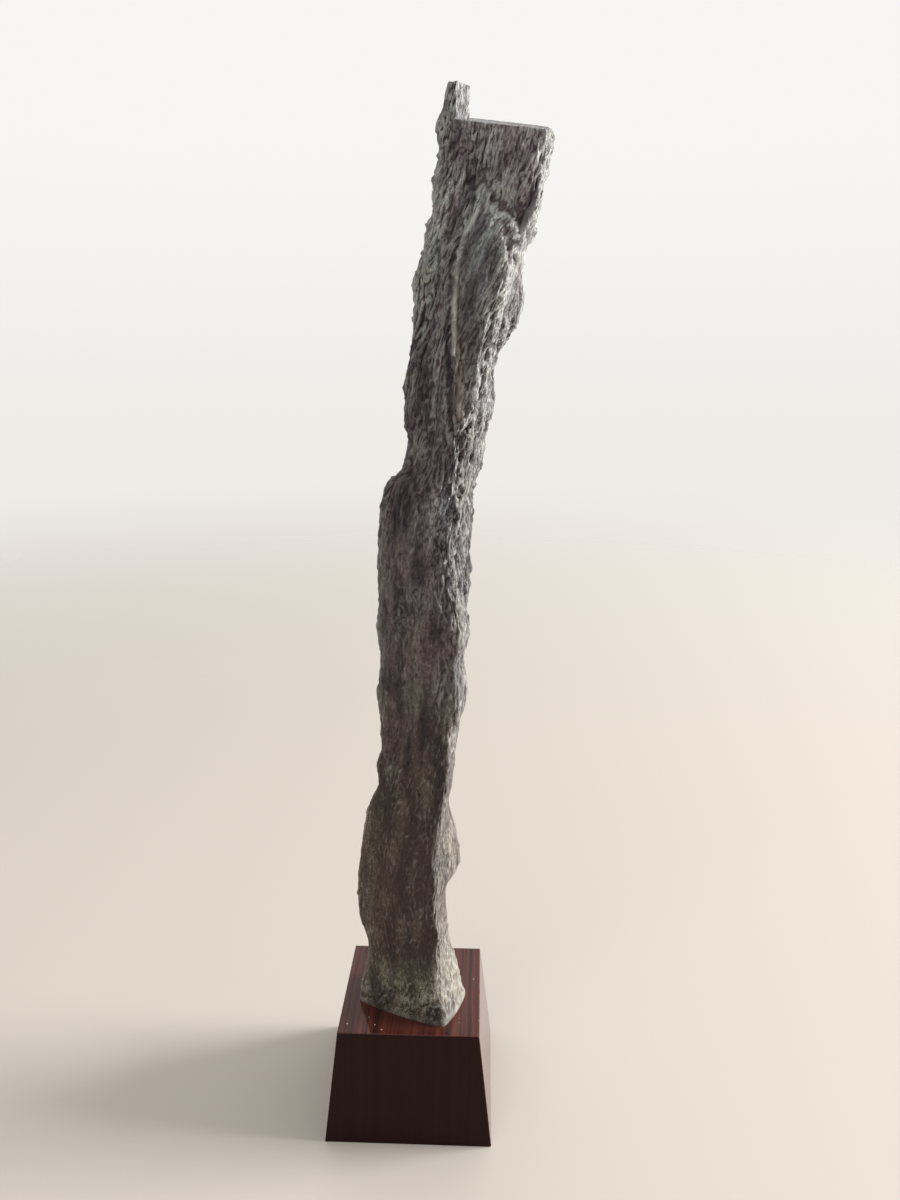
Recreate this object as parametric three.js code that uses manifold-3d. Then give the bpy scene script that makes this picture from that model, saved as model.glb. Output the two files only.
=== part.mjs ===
// A viewing stone: a tall, slender slab of dark fibrous schist that leans to the right, with a
// spire and a sawn top, set in a shallow seat carved in a small dark rosewood block.
// Millimetres, +Z up, the viewer at -Y. The origin is the middle of the block's underside.

import * as THREE from 'three';
import { mergeVertices } from 'three/addons/utils/BufferGeometryUtils.js';
import { ImprovedNoise } from 'three/addons/math/ImprovedNoise.js';
import Module from 'manifold-3d';

const wasm = await Module();
wasm.setup();

// Driving dimensions of the block
const BLOCK_WIDTH = 50;
const BLOCK_TOP_WIDTH = 42;
const BLOCK_HEIGHT = 35.5;
const BLOCK_BEVEL = 0.3;
// A ring of the block has two corners at each upright edge, where the bevel cuts it off
const BLOCK_CORNERS = 8;
const SEAT_DEPTH = 2;
const SEAT_GAP = 0.3;

// Driving dimensions of the stone
const STONE_TOP = 292;
const STONE_FOOT = BLOCK_HEIGHT - SEAT_DEPTH + SEAT_GAP;
// Rows are closer together in the figured upper part
const NECK = 226;
const BODY_ROWS = 58;
const HEAD_ROWS = 25;

// The four long faces of the slab, each as wide as its count of columns
const FRONT_COLUMNS = 16;
const RIGHT_COLUMNS = 11;
const BACK_COLUMNS = 16;
const LEFT_COLUMNS = 11;
const STONE_COLUMNS = FRONT_COLUMNS + RIGHT_COLUMNS + BACK_COLUMNS + LEFT_COLUMNS;

// How far each face swells between its edges, and how far the edges are rounded over
const FRONT_CROWN = 0.9;
const RIGHT_CROWN = 0.9;
const BACK_CROWN = 2.2;
const LEFT_CROWN = 1.2;
const EDGE_ROUNDING = 0.9 / STONE_COLUMNS;

// The grain: long waves that follow the lean, and shorter ones on top of them
const WAVE = { rise: 1.1, across: 6.5, along: 34 };
const RIPPLE = { rise: 0.55, across: 3.2, along: 11 };
const MEAN_RADIUS = 13;
// The waves wander round the stone as they climb, by a share of a turn
const WANDER = 0.06;
const WANDER_HEIGHT = 30;
// The foot is plain where it sits in the block, and the grain sets in above it
const PLAIN_BELOW = BLOCK_HEIGHT + 0.5;
const GRAIN_FULL_AT = BLOCK_HEIGHT + 8;
// It is calm on the flat body and gets rougher from the shoulder up to the neck
const BODY_GRAIN = 0.5;
const GRAIN_ROUGHENS = [150, 215];

// The sawn top slopes down to the right and towards the viewer. The saw left the spire standing
// at the front left: its right wall turns back to the right, and its back wall is straight.
const SAW_HEIGHT = 286.3;
const SAW_FALL_TO_RIGHT = -0.1;
const SAW_RISE_TO_BACK = 0.258;
const SAW_REACH = 50;
const SPIRE_RIGHT_WALL = { x: 16, y: -SAW_REACH, turn: 0.63 };
const SPIRE_BACK_WALL = { x: -SAW_REACH, y: -0.5, turn: 0 };

// The slab's four long edges, seen from the front as [height, x], from the foot up
const LEFT_EDGE = [
  [33, -15.6], [40, -15.6], [46, -13.9], [55, -13.3], [63, -15.3], [72, -16], [82, -15.2],
  [93, -13.7], [102, -12.1], [105.5, -9.4], [114, -9.7], [119, -8.3], [132, -8.9], [136, -9.9],
  [140, -8.9], [149, -8.7], [155, -9.8], [159, -8.8], [172, -8.4], [185, -7.8], [192, -7.3],
  [196, -5.6], [198, -2.4], [202, -0.5], [208, -0.3], [213, -1.3], [221, -1], [226, 0.4],
  [240, 1.7], [245, 1.2], [250, 2], [253, 4], [260, 5.8], [267, 7.4], [277, 9.1], [283, 8.5],
  [288, 9.8], [293, 10.9],
];
const RIDGE = [
  [33, 10.2], [38, 10.2], [46, 8.6], [55, 8.3], [61, 8.7], [67, 7.7], [79, 7.5], [86, 6.9],
  [97, 8.5], [104, 9.9], [118, 11.3], [127, 11.5], [130, 13.5], [137, 13.9], [148, 13.4],
  [153, 14.9], [163, 13.4], [173, 12.2], [197, 12.8], [206, 13.6], [214, 16], [221, 17.5],
  [230, 18.8], [238, 21], [245, 23.8], [251, 25.8], [258, 28.6], [267, 32], [277, 33.5],
  [284, 33.4], [293, 32],
];
const RIGHT_EDGE = [
  [33, 16.4], [38, 16.4], [41, 15.6], [46, 14.4], [51, 12.2], [58, 11], [73.5, 10.9], [77, 13.8],
  [82, 14.6], [89, 13.6], [95, 11.6], [102, 10.8], [107, 12.1], [119, 13.2], [131, 14.6],
  [137, 15.6], [145, 15.4], [150, 16.1], [160, 16.3], [168, 16.9], [179, 17.6], [191, 17.8],
  [198, 19.6], [204, 20.9], [217, 22.9], [225, 23.3], [231, 24.9], [236, 27.8], [243, 29.6],
  [255, 29], [258, 31.6], [266, 33], [273, 34.6], [279, 35.5], [284, 35.1], [293, 33.5],
];
const BACK_EDGE = [
  [33, -13.5], [45, -12.5], [60, -10.5], [80, -11], [98, -9], [108, -5.5], [150, -5], [188, -4],
  [200, 1], [225, 4], [250, 5.5], [270, 9.5], [293, 12.5],
];

// How far back each of those edges lies, as [height, y]
const LEFT_DEPTH = [
  [33, -6.5], [38, -6.5], [48, -5.5], [60, -5], [80, -4.5], [105, -4.5], [130, -5.5], [170, -5.5],
  [192, -4.5], [205, -3.5], [225, -3], [250, -4], [270, -5], [293, -4.5],
];
const RIDGE_DEPTH = [
  [33, -17.4], [38, -16.8], [44, -14], [50, -11.4], [60, -10.8], [80, -10.8], [105, -10],
  [130, -9.5], [155, -9.5], [200, -9], [215, -9.5], [245, -9.7], [262, -10.2], [284, -9],
  [293, -7.5],
];
const RIGHT_DEPTH = [
  [33, -1], [38, -1], [46, 2], [60, 4], [85, 4.5], [105, 5], [130, 6], [160, 6], [190, 5],
  [215, 4], [240, 3.5], [253, 3.5], [262, 5], [284, 6], [293, 5],
];
const BACK_DEPTH = [
  [33, 5.5], [45, 6.5], [60, 7.5], [90, 8.5], [170, 8.5], [200, 8], [230, 7.5], [260, 8],
  [283, 7.5], [293, 6],
];

// What stands out of each face or is sunk in it. x (or y, on the two sides) and z give the middle,
// wide and tall half the size, rise how far it stands out, lean the run to the right per height.
// A crisp one has a steep rim. It fades out where the stone turns away from that face: FACING is
// how squarely the surface looks the face's way, from where it starts to where it is fully felt.
const FACING = [0.2, 0.7];
const FRONT_RELIEF = [
  // the lobes that hang down at the right of the sawn block, and the hollow between them and
  // the hood
  { x: 28.6, z: 266, wide: 3.6, tall: 10, rise: 1.6, lean: 0.1, crisp: true },
  { x: 24.2, z: 259.5, wide: 1.7, tall: 7, rise: -1.7, lean: -0.35 },
  // the groove that runs down the left of the hood
  { x: 13, z: 254, wide: 1.2, tall: 9, rise: -1.3, lean: 0.35 },
  // two oval pits above it, and a hollow under the spire
  { x: 16, z: 271.7, wide: 1.6, tall: 3.6, rise: -1.7, lean: 0 },
  { x: 19.2, z: 271, wide: 1.2, tall: 2.8, rise: -1.2, lean: 0 },
  { x: 11.5, z: 263, wide: 1.4, tall: 6, rise: -0.9, lean: 0.2 },
  // the smooth channel below the hood, its pale rib, and the deep groove left of them
  { x: 16.3, z: 234, wide: 2.1, tall: 11, rise: -1.2, lean: 0.03, crisp: true },
  { x: 13, z: 233, wide: 0.9, tall: 12, rise: 1, lean: 0.03 },
  { x: 10.6, z: 229.5, wide: 1.1, tall: 7, rise: -2.1, lean: 0.05 },
  { x: 11.3, z: 216, wide: 0.8, tall: 9, rise: -1, lean: 0 },
  // the swelling on the left of the neck
  { x: 5.8, z: 249.5, wide: 2.8, tall: 4.6, rise: 1.2, lean: 0.1 },
  { x: 4, z: 236, wide: 1.4, tall: 6, rise: -0.8, lean: 0.1 },
  { x: 3.5, z: 214, wide: 1.6, tall: 8, rise: -0.8, lean: 0.1 },
  // long shallow hollows down the body, between low ribs
  { x: -4.3, z: 176, wide: 1.8, tall: 9, rise: -1, lean: 0 },
  { x: 1.2, z: 184, wide: 1.6, tall: 12, rise: 0.8, lean: 0.12 },
  { x: 8.4, z: 178, wide: 2.3, tall: 7, rise: -1.2, lean: 0.15 },
  { x: 9.5, z: 153, wide: 4.2, tall: 7, rise: -0.7, lean: 0 },
  { x: -4, z: 148, wide: 2, tall: 14, rise: 0.6, lean: 0.03 },
  { x: 3.5, z: 122, wide: 2.4, tall: 12, rise: -0.7, lean: 0.05 },
  { x: -4, z: 108, wide: 3, tall: 9, rise: 0.6, lean: 0.05 },
  { x: 4.2, z: 84, wide: 2.6, tall: 10, rise: -0.7, lean: 0.05 },
  // the lobe on the left of the foot, and the hollow face that the toe runs out from
  { x: -12.6, z: 76, wide: 3, tall: 15, rise: 0.8, lean: 0 },
  { x: 3.5, z: 56, wide: 4, tall: 7, rise: -0.8, lean: 0 },
  { x: -6, z: 47, wide: 5, tall: 4.5, rise: 0.9, lean: 0 },
];
const BACK_RELIEF = [
  { x: 3, z: 128, wide: 2.6, tall: 34, rise: 1.6, lean: 0.1 },
  { x: 9, z: 116, wide: 1.8, tall: 22, rise: -1.4, lean: 0.05 },
  { x: -3.5, z: 72, wide: 3.4, tall: 15, rise: 1.3, lean: 0 },
  { x: 5, z: 66, wide: 2.4, tall: 14, rise: -1.3, lean: 0.05 },
  { x: 12, z: 182, wide: 2.6, tall: 18, rise: 1.2, lean: 0.1 },
  { x: 5, z: 196, wide: 2, tall: 16, rise: -1.6, lean: 0.15 },
  { x: 22.5, z: 246, wide: 3.2, tall: 16, rise: 1.5, lean: 0.25, crisp: true },
  { x: 14.5, z: 244, wide: 2.2, tall: 18, rise: -1.7, lean: 0.2 },
  { x: 27, z: 268, wide: 2.6, tall: 10, rise: -1, lean: 0.1 },
  { x: 19, z: 275, wide: 2, tall: 7, rise: 0.8, lean: 0.1 },
];
const RIGHT_RELIEF = [
  // the loose flake above the foot, and pits in the pale side of the neck
  { y: -1, z: 84, wide: 4, tall: 9, rise: 0.8, lean: 0, crisp: true },
  { y: -4, z: 212, wide: 1.6, tall: 5, rise: -1.1, lean: 0 },
  { y: 0.5, z: 228, wide: 1.8, tall: 6, rise: -1.1, lean: 0 },
  { y: -3, z: 190, wide: 1.5, tall: 7, rise: 0.8, lean: 0 },
  { y: 0, z: 168, wide: 2, tall: 10, rise: -0.9, lean: 0 },
  { y: -1, z: 134, wide: 2, tall: 9, rise: 0.8, lean: 0 },
  { y: 1, z: 112, wide: 2, tall: 8, rise: -0.8, lean: 0 },
  { y: -3, z: 60, wide: 2.2, tall: 8, rise: -0.9, lean: 0 },
];
const LEFT_RELIEF = [
  { y: 1.5, z: 214, wide: 2.2, tall: 14, rise: -1.3, lean: 0 },
  { y: 2, z: 168, wide: 2.2, tall: 16, rise: 1, lean: 0 },
  { y: 1, z: 124, wide: 2, tall: 10, rise: -1.1, lean: 0 },
  { y: 2.5, z: 80, wide: 2.6, tall: 14, rise: 1.1, lean: 0 },
  { y: 1, z: 246, wide: 1.8, tall: 10, rise: -0.9, lean: 0 },
];

// The hood, a swelling like a cloaked figure under the sawn block, by its two edges. It sinks
// back into the neck below HOOD_FADE.
const HOOD_LEFT = [[225, 14], [242, 12.6], [251, 13.6], [257, 15.2], [262, 17.5], [267.5, 20.4]];
const HOOD_RIGHT = [[225, 21], [245, 25], [252, 25.6], [258, 24], [263, 22.3], [267.5, 20.4]];
const HOOD_RISE = 2.4;
const HOOD_FADE = [226, 248];
const HOOD_RIM = 1.6;

// A smooth line through an edge's points, at one height
function along(edge, height) {
  const above = edge.findIndex(([z]) => z > height);
  const next = above < 0 ? edge.length - 1 : Math.max(above, 1);
  const [z0, start] = edge[next - 1];
  const [z1, end] = edge[next];
  const [zBefore, before] = edge[Math.max(next - 2, 0)];
  const [zAfter, after] = edge[Math.min(next + 1, edge.length - 1)];
  const share = THREE.MathUtils.clamp((height - z0) / (z1 - z0), 0, 1);
  const startSlope = (end - before) / (z1 - zBefore) * (z1 - z0);
  const endSlope = (after - start) / (zAfter - z0) * (z1 - z0);
  const square = share * share;
  const cube = square * share;
  return (2 * cube - 3 * square + 1) * start + (cube - 2 * square + share) * startSlope
    + (3 * square - 2 * cube) * end + (cube - square) * endSlope;
}

// The slab's faces in turn, counter-clockwise from the front ridge as seen from above
const FACES = [
  { columns: RIGHT_COLUMNS, edge: RIDGE, depth: RIDGE_DEPTH, crown: RIGHT_CROWN },
  { columns: BACK_COLUMNS, edge: RIGHT_EDGE, depth: RIGHT_DEPTH, crown: BACK_CROWN },
  { columns: LEFT_COLUMNS, edge: BACK_EDGE, depth: BACK_DEPTH, crown: LEFT_CROWN },
  { columns: FRONT_COLUMNS, edge: LEFT_EDGE, depth: LEFT_DEPTH, crown: FRONT_CROWN },
];

// A point of the slab before its edges are rounded. turn runs from 0 to 1 around it.
function slabPoint(turn, height) {
  let column = THREE.MathUtils.euclideanModulo(turn, 1) * STONE_COLUMNS;
  let index = 0;
  while (column > FACES[index].columns && index < FACES.length - 1) {
    column -= FACES[index].columns;
    index += 1;
  }
  const face = FACES[index];
  const nextFace = FACES[(index + 1) % FACES.length];
  const share = column / face.columns;
  const start = new THREE.Vector2(along(face.edge, height), along(face.depth, height));
  const end = new THREE.Vector2(along(nextFace.edge, height), along(nextFace.depth, height));
  const swell = face.crown * Math.sin(Math.PI * share);
  const run = end.clone().sub(start).normalize();
  return start.lerp(end, share).add(new THREE.Vector2(run.y, -run.x).multiplyScalar(swell));
}

function roundedPoint(turn, height) {
  return slabPoint(turn, height).multiplyScalar(2)
    .add(slabPoint(turn - EDGE_ROUNDING, height))
    .add(slabPoint(turn + EDGE_ROUNDING, height))
    .divideScalar(4);
}

// The horizontal direction that points out of the slab
function outward(turn, height) {
  const step = 1 / STONE_COLUMNS;
  const run = roundedPoint(turn + step, height).sub(roundedPoint(turn - step, height));
  return new THREE.Vector2(run.y, -run.x).normalize();
}

// How strongly a lump or hollow is felt at a place on its face, from 0 to 1
function strength(form, across, height) {
  const away = Math.hypot((across - form.lean * (height - form.z)) / form.wide,
    (height - form.z) / form.tall);
  return form.crisp ? 1 / (1 + away ** 6) : Math.exp(-away * away);
}

function hoodRelief(x, height, facing) {
  const inside = Math.min(x - along(HOOD_LEFT, height), along(HOOD_RIGHT, height) - x);
  const top = HOOD_LEFT[HOOD_LEFT.length - 1][0];
  const level = THREE.MathUtils.smoothstep(height, ...HOOD_FADE);
  if (facing < FACING[0] || height > top + HOOD_RIM) return 0;
  return HOOD_RISE * level * THREE.MathUtils.smoothstep(inside, -HOOD_RIM, HOOD_RIM);
}

function faceRelief(forms, middle, place, height, facing) {
  const felt = THREE.MathUtils.smoothstep(facing, ...FACING);
  if (felt === 0) return 0;
  return felt * forms.reduce(
    (sum, form) => sum + form.rise * strength(form, place - form[middle], height), 0);
}

const noise = new ImprovedNoise();

// Waves along the grain: stretched far more in height than around the stone
function grain(turn, height, { rise, across, along: length }) {
  const wander = WANDER * noise.noise(0, 0, height / WANDER_HEIGHT);
  const angle = 2 * Math.PI * (turn + wander);
  const reach = MEAN_RADIUS / across;
  const rough = THREE.MathUtils.smoothstep(height, ...GRAIN_ROUGHENS);
  return rise * THREE.MathUtils.lerp(BODY_GRAIN, 1, rough)
    * noise.noise(reach * Math.cos(angle), reach * Math.sin(angle), height / length);
}

function stonePoint(turn, height) {
  const point = roundedPoint(turn, height);
  const out = outward(turn, height);
  const relief = faceRelief(FRONT_RELIEF, 'x', point.x, height, -out.y)
    + faceRelief(BACK_RELIEF, 'x', point.x, height, out.y)
    + faceRelief(RIGHT_RELIEF, 'y', point.y, height, out.x)
    + faceRelief(LEFT_RELIEF, 'y', point.y, height, -out.x)
    + hoodRelief(point.x, height, -out.y)
    + grain(turn, height, WAVE) + grain(turn, height, RIPPLE);
  const felt = THREE.MathUtils.smoothstep(height, PLAIN_BELOW, GRAIN_FULL_AT);
  return point.add(out.multiplyScalar(relief * felt));
}

// The block's ring: a square whose four upright edges are bevelled
function blockPoint(turn, height) {
  const taper = (BLOCK_WIDTH - BLOCK_TOP_WIDTH) / 2 / (BLOCK_HEIGHT - 2 * BLOCK_BEVEL);
  const atRim = height === 0 || height === BLOCK_HEIGHT;
  const half = BLOCK_WIDTH / 2 - taper * Math.max(height - BLOCK_BEVEL, 0)
    - (atRim ? BLOCK_BEVEL : 0);
  const short = half - BLOCK_BEVEL;
  const ring = [[short, -half], [half, -short], [half, short], [short, half],
    [-short, half], [-half, short], [-half, -short], [-short, -half]];
  return new THREE.Vector2(...ring[Math.round(turn * ring.length) % ring.length]);
}

// A closed solid through rings of points, one ring for each height, counter-clockwise. It is a
// cylinder 1 high about its own middle, whose points are moved to their places.
function loft(columns, heights, pointAt) {
  const rows = heights.length - 1;
  const cylinder = new THREE.CylinderGeometry(1, 1, 1, columns, rows);
  cylinder.deleteAttribute('normal');
  cylinder.deleteAttribute('uv');
  const skin = mergeVertices(cylinder);
  const place = skin.attributes.position;
  for (let i = 0; i < place.count; i += 1) {
    const [side, up, front] = [place.getX(i), place.getY(i), place.getZ(i)];
    const height = heights[Math.round((0.5 + up) * rows)];
    const turn = THREE.MathUtils.euclideanModulo(Math.atan2(side, front) / (2 * Math.PI), 1);
    const onAxis = side === 0 && front === 0;
    const point = onAxis ? ringMiddle(columns, height, pointAt) : pointAt(turn, height);
    place.setXYZ(i, point.x, point.y, height);
  }
  return skin;
}

function ringMiddle(columns, height, pointAt) {
  const middle = new THREE.Vector2();
  for (let i = 0; i < columns; i += 1) middle.add(pointAt(i / columns, height));
  return middle.divideScalar(columns);
}

function toSolid(geometry) {
  geometry.deleteAttribute('normal');
  geometry.deleteAttribute('uv');
  const merged = mergeVertices(geometry);
  return new wasm.Manifold(new wasm.Mesh({
    numProp: 3,
    vertProperties: new Float32Array(merged.attributes.position.array),
    triVerts: new Uint32Array(merged.index.array),
  }));
}

function toGeometry(solid) {
  const { vertProperties, triVerts } = solid.getMesh();
  const geometry = new THREE.BufferGeometry();
  geometry.setAttribute('position', new THREE.BufferAttribute(vertProperties, 3));
  geometry.setIndex(new THREE.BufferAttribute(triVerts, 1));
  geometry.computeVertexNormals();
  return geometry;
}

// What the saw took away beyond one wall of the spire, down to the sloping top
function sawnAway({ x, y, turn }) {
  const waste = new THREE.BoxGeometry(2 * SAW_REACH, 2 * SAW_REACH, SAW_REACH);
  waste.translate(SAW_REACH + x, SAW_REACH + y, SAW_REACH / 2);
  waste.applyMatrix4(new THREE.Matrix4().makeShear(0, 0, turn, 0, 0, 0));
  waste.applyMatrix4(new THREE.Matrix4().makeShear(
    0, SAW_FALL_TO_RIGHT, 0, SAW_RISE_TO_BACK, 0, 0));
  waste.translate(0, 0, SAW_HEIGHT);
  return toSolid(waste);
}

// The seat carved in the block follows the stone's foot with a small gap all round
function seatHollow() {
  const outline = [];
  for (let i = 0; i < STONE_COLUMNS; i += 1) {
    const turn = i / STONE_COLUMNS;
    const gap = outward(turn, STONE_FOOT).multiplyScalar(SEAT_GAP);
    outline.push(roundedPoint(turn, STONE_FOOT).add(gap));
  }
  const hollow = new THREE.ExtrudeGeometry(new THREE.Shape(outline),
    { depth: 2 * SEAT_DEPTH, bevelEnabled: false });
  hollow.translate(0, 0, BLOCK_HEIGHT - SEAT_DEPTH);
  return hollow;
}

// Evenly spaced heights from low up to, but without, high
function spaced(low, high, rows) {
  return Array.from({ length: rows }, (_, row) => low + (high - low) * row / rows);
}

function makeStone() {
  const heights = [...spaced(STONE_FOOT, NECK, BODY_ROWS), ...spaced(NECK, STONE_TOP, HEAD_ROWS),
    STONE_TOP];
  const slab = toSolid(loft(STONE_COLUMNS, heights, stonePoint));
  const sawn = slab.subtract(sawnAway(SPIRE_RIGHT_WALL)).subtract(sawnAway(SPIRE_BACK_WALL));
  const stone = new THREE.Mesh(toGeometry(sawn),
    new THREE.MeshStandardMaterial({ color: 0x565452, roughness: 0.85, metalness: 0 }));
  stone.name = 'stone';
  return stone;
}

function makeBlock() {
  const heights = [0, BLOCK_BEVEL, BLOCK_HEIGHT - BLOCK_BEVEL, BLOCK_HEIGHT];
  const block = toSolid(loft(BLOCK_CORNERS, heights, blockPoint));
  const carved = new THREE.Mesh(toGeometry(block.subtract(toSolid(seatHollow()))),
    new THREE.MeshStandardMaterial({ color: 0x2c1712, roughness: 0.25, metalness: 0 }));
  carved.name = 'wooden_base';
  return carved;
}

const suiseki = new THREE.Group();
suiseki.add(makeBlock(), makeStone());

export default suiseki;
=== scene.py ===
# %% [markdown]
# # A viewing stone on a rosewood block
#
# The object is a suiseki: a tall, slender slab of dark fibrous schist that leans to the right and stands in
# a shallow seat in a small lacquered rosewood block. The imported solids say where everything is. This lesson
# gives them their surfaces: the stone is remade as a fine mesh over its solid, and the block gets eased
# edges, grain and lacquer. All lengths are metres, +Z is up, and the viewer stands at -Y.

# %% Load the frame
import math
from collections import Counter

import bmesh
import bpy
import numpy as np
from mathutils import Matrix, Vector, noise


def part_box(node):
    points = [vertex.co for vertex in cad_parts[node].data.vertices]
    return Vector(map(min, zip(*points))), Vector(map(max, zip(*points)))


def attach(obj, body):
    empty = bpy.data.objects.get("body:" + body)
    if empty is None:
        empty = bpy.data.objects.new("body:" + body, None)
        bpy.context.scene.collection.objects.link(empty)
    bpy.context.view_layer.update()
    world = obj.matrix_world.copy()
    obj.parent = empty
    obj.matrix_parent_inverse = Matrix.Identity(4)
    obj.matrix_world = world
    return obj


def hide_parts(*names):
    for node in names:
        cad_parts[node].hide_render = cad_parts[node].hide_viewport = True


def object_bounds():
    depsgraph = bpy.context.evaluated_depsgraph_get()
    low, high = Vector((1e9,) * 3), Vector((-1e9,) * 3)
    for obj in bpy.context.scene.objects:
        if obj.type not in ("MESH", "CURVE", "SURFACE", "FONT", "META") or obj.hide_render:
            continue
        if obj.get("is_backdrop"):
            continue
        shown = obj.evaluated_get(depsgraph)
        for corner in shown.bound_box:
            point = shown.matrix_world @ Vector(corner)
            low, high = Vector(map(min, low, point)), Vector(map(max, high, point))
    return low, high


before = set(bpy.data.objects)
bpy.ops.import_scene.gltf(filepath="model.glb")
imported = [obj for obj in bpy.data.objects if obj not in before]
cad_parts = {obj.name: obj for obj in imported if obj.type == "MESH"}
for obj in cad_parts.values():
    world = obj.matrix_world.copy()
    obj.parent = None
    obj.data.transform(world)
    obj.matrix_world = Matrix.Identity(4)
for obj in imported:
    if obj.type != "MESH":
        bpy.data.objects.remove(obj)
cad_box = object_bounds()
MM = 0.001
print("solids:", sorted(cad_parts))
print("box in mm:", [[round(c / MM, 1) for c in p] for p in cad_box])

# %% [markdown]
# ## Camera
#
# The picture was taken from close by, a little above the middle of the stone and looking down on the block,
# so the perspective is strong. A guessed camera would bend the stone another way, so the place and the
# angles here were fitted to the seven visible corners of the block.

# %% Camera
CAMERA_PLACE = (0.020, -0.252, 0.2305)
CAMERA_TURN, CAMERA_DIP, CAMERA_ROLL = math.radians(2.0), math.radians(15.1), math.radians(0.2)
CAMERA_LENS = 28

camera_data = bpy.data.cameras.new("camera")
camera_data.lens = CAMERA_LENS
camera_data.sensor_width = 36
camera_data.clip_start = 0.01
camera = bpy.data.objects.new("camera", camera_data)
camera.matrix_world = (
    Matrix.Translation(CAMERA_PLACE)
    @ Matrix.Rotation(CAMERA_TURN, 4, "Z")
    @ Matrix.Rotation(math.pi / 2 - CAMERA_DIP, 4, "X")
    @ Matrix.Rotation(CAMERA_ROLL, 4, "Z")
)
scene = bpy.context.scene
scene.collection.objects.link(camera)
scene.camera = camera
print("camera at", CAMERA_PLACE, "lens", CAMERA_LENS, "mm")

# %% [markdown]
# ## Reading the stone's solid as a grid
#
# The solid of the stone is a loft: rings of points, one above the other, from the foot to the spire, with
# the top sawn off. A subdivision surface could smooth it as it is, but the sawn corners would melt. So the
# rings are read back into a table of points (ring by column), the rings that the saw cut through are
# carried on upwards, and the saw is used again at the end, on the finished surface. That is also the order
# in which the real stone was made.

# %% Weld the solid and walk its rings
WELD = 1e-6


def welded(node):
    """The solid as a bmesh with each corner once."""
    bm = bmesh.new()
    bm.from_mesh(node.data)
    bmesh.ops.remove_doubles(bm, verts=bm.verts, dist=WELD)
    bm.normal_update()
    return bm


def walked(ring):
    """The points of one whole ring in order, counter-clockwise as seen from above."""
    here, path = min(ring, key=lambda v: v.co.y), []
    while here is not None:
        path.append(here)
        near = [edge.other_vert(here) for edge in here.link_edges]
        here = next((v for v in near if v in ring and v not in path), None)
    area = sum(a.co.x * b.co.y - b.co.x * a.co.y for a, b in zip(path, path[1:] + path[:1]))
    return path if area > 0 else path[::-1]


def in_step(path, below):
    """The ring turned so that each point stands over its own column."""
    def gap(shift):
        return sum((path[(i + shift) % len(path)].co - v.co).length for i, v in enumerate(below))
    best = min(range(len(path)), key=gap)
    return path[best:] + path[:best]


stone_solid = welded(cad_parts["stone"])
print("corners of the stone's solid:", len(stone_solid.verts))

# %% [markdown]
# The saw took some points out of the last few rings. A point that is still there is taken as it is. One
# that is gone is guessed, on in the line of its own column. It is cut away again later, so it only has to
# lie near.

# %% Read the rings
FEWEST_COLUMNS = 30
SAME_POINT = 0.7 * MM
INWARD_WEIGHT, ONWARD = 0.4, 0.5
LEVEL_FACE, WHOLE_STEP = 0.999, 0.495


def carried_up(spots, below, lower, z):
    """The next ring: where the solid still has a point in line with a column it is taken, else guessed."""
    row = []
    for i, low in enumerate(below):
        run = (below[(i + 1) % len(below)] - below[i - 1]).xy.normalized()
        side = Vector((run.y, -run.x))

        def off(spot):
            return math.hypot((spot - low.xy).dot(run), INWARD_WEIGHT * (spot - low.xy).dot(side))

        nearest = min(spots, key=off)
        guess = low.xy + ONWARD * (low - lower[i]).xy
        row.append(Vector((*(nearest if off(nearest) < SAME_POINT else guess), z)))
    return row


def read_rings(bm):
    """The table of points, ring by column, with the cut rings made whole."""
    levels = {}
    for v in bm.verts:
        if any(abs(face.normal.z) < LEVEL_FACE for face in v.link_faces):
            levels.setdefault(round(v.co.z, 5), set()).add(v)
    sizes = Counter(len(ring) for ring in levels.values() if len(ring) > FEWEST_COLUMNS)
    columns = sizes.most_common(1)[0][0]
    whole = sorted(z for z, ring in levels.items() if len(ring) == columns)
    walks = [walked(levels[whole[0]])]
    for z in whole[1:]:
        walks.append(in_step(walked(levels[z]), walks[-1]))
    table = [[v.co.copy() for v in ring] for ring in walks]
    top, step = whole[-1], whole[-1] - whole[-2]
    above = [z for z in sorted(levels) if z > top and abs((z - top) / step % 1 - 0.5) > WHOLE_STEP]
    for z in above:
        table.append(carried_up([v.co.xy for v in levels[z]], table[-1], table[-2], z))
    print(columns, "columns,", len(whole), "whole rings,", len(above), "cut ones")
    return np.array(table)


rings = read_rings(stone_solid)
print("grid of the solid:", rings.shape)

# %% [markdown]
# ## A finer grid
#
# A smooth spline through the solid's points gives as many points as the fibres need. Across the grain they
# are under 0.3 mm apart, along it 0.7 mm, because the fibres run upwards: the triangles go where the detail
# is.

# %% Spline the grid
ROW_STEP = 0.7 * MM
FINE_COLUMNS = 256


def spline(values, places, wraps):
    """Catmull-Rom curve through values, along their first axis, read at fractional places."""
    start = np.floor(places).astype(int)
    t = (places - start).reshape(-1, *[1] * (values.ndim - 1))
    count = len(values)
    pick = (lambda i: values[i % count]) if wraps else (lambda i: values[np.clip(i, 0, count - 1)])
    a, b, c, d = (pick(start + k) for k in (-1, 0, 1, 2))
    return b + 0.5 * t * (c - a + t * (2 * a - 5 * b + 4 * c - d + t * (3 * (b - c) + d - a)))


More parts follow.
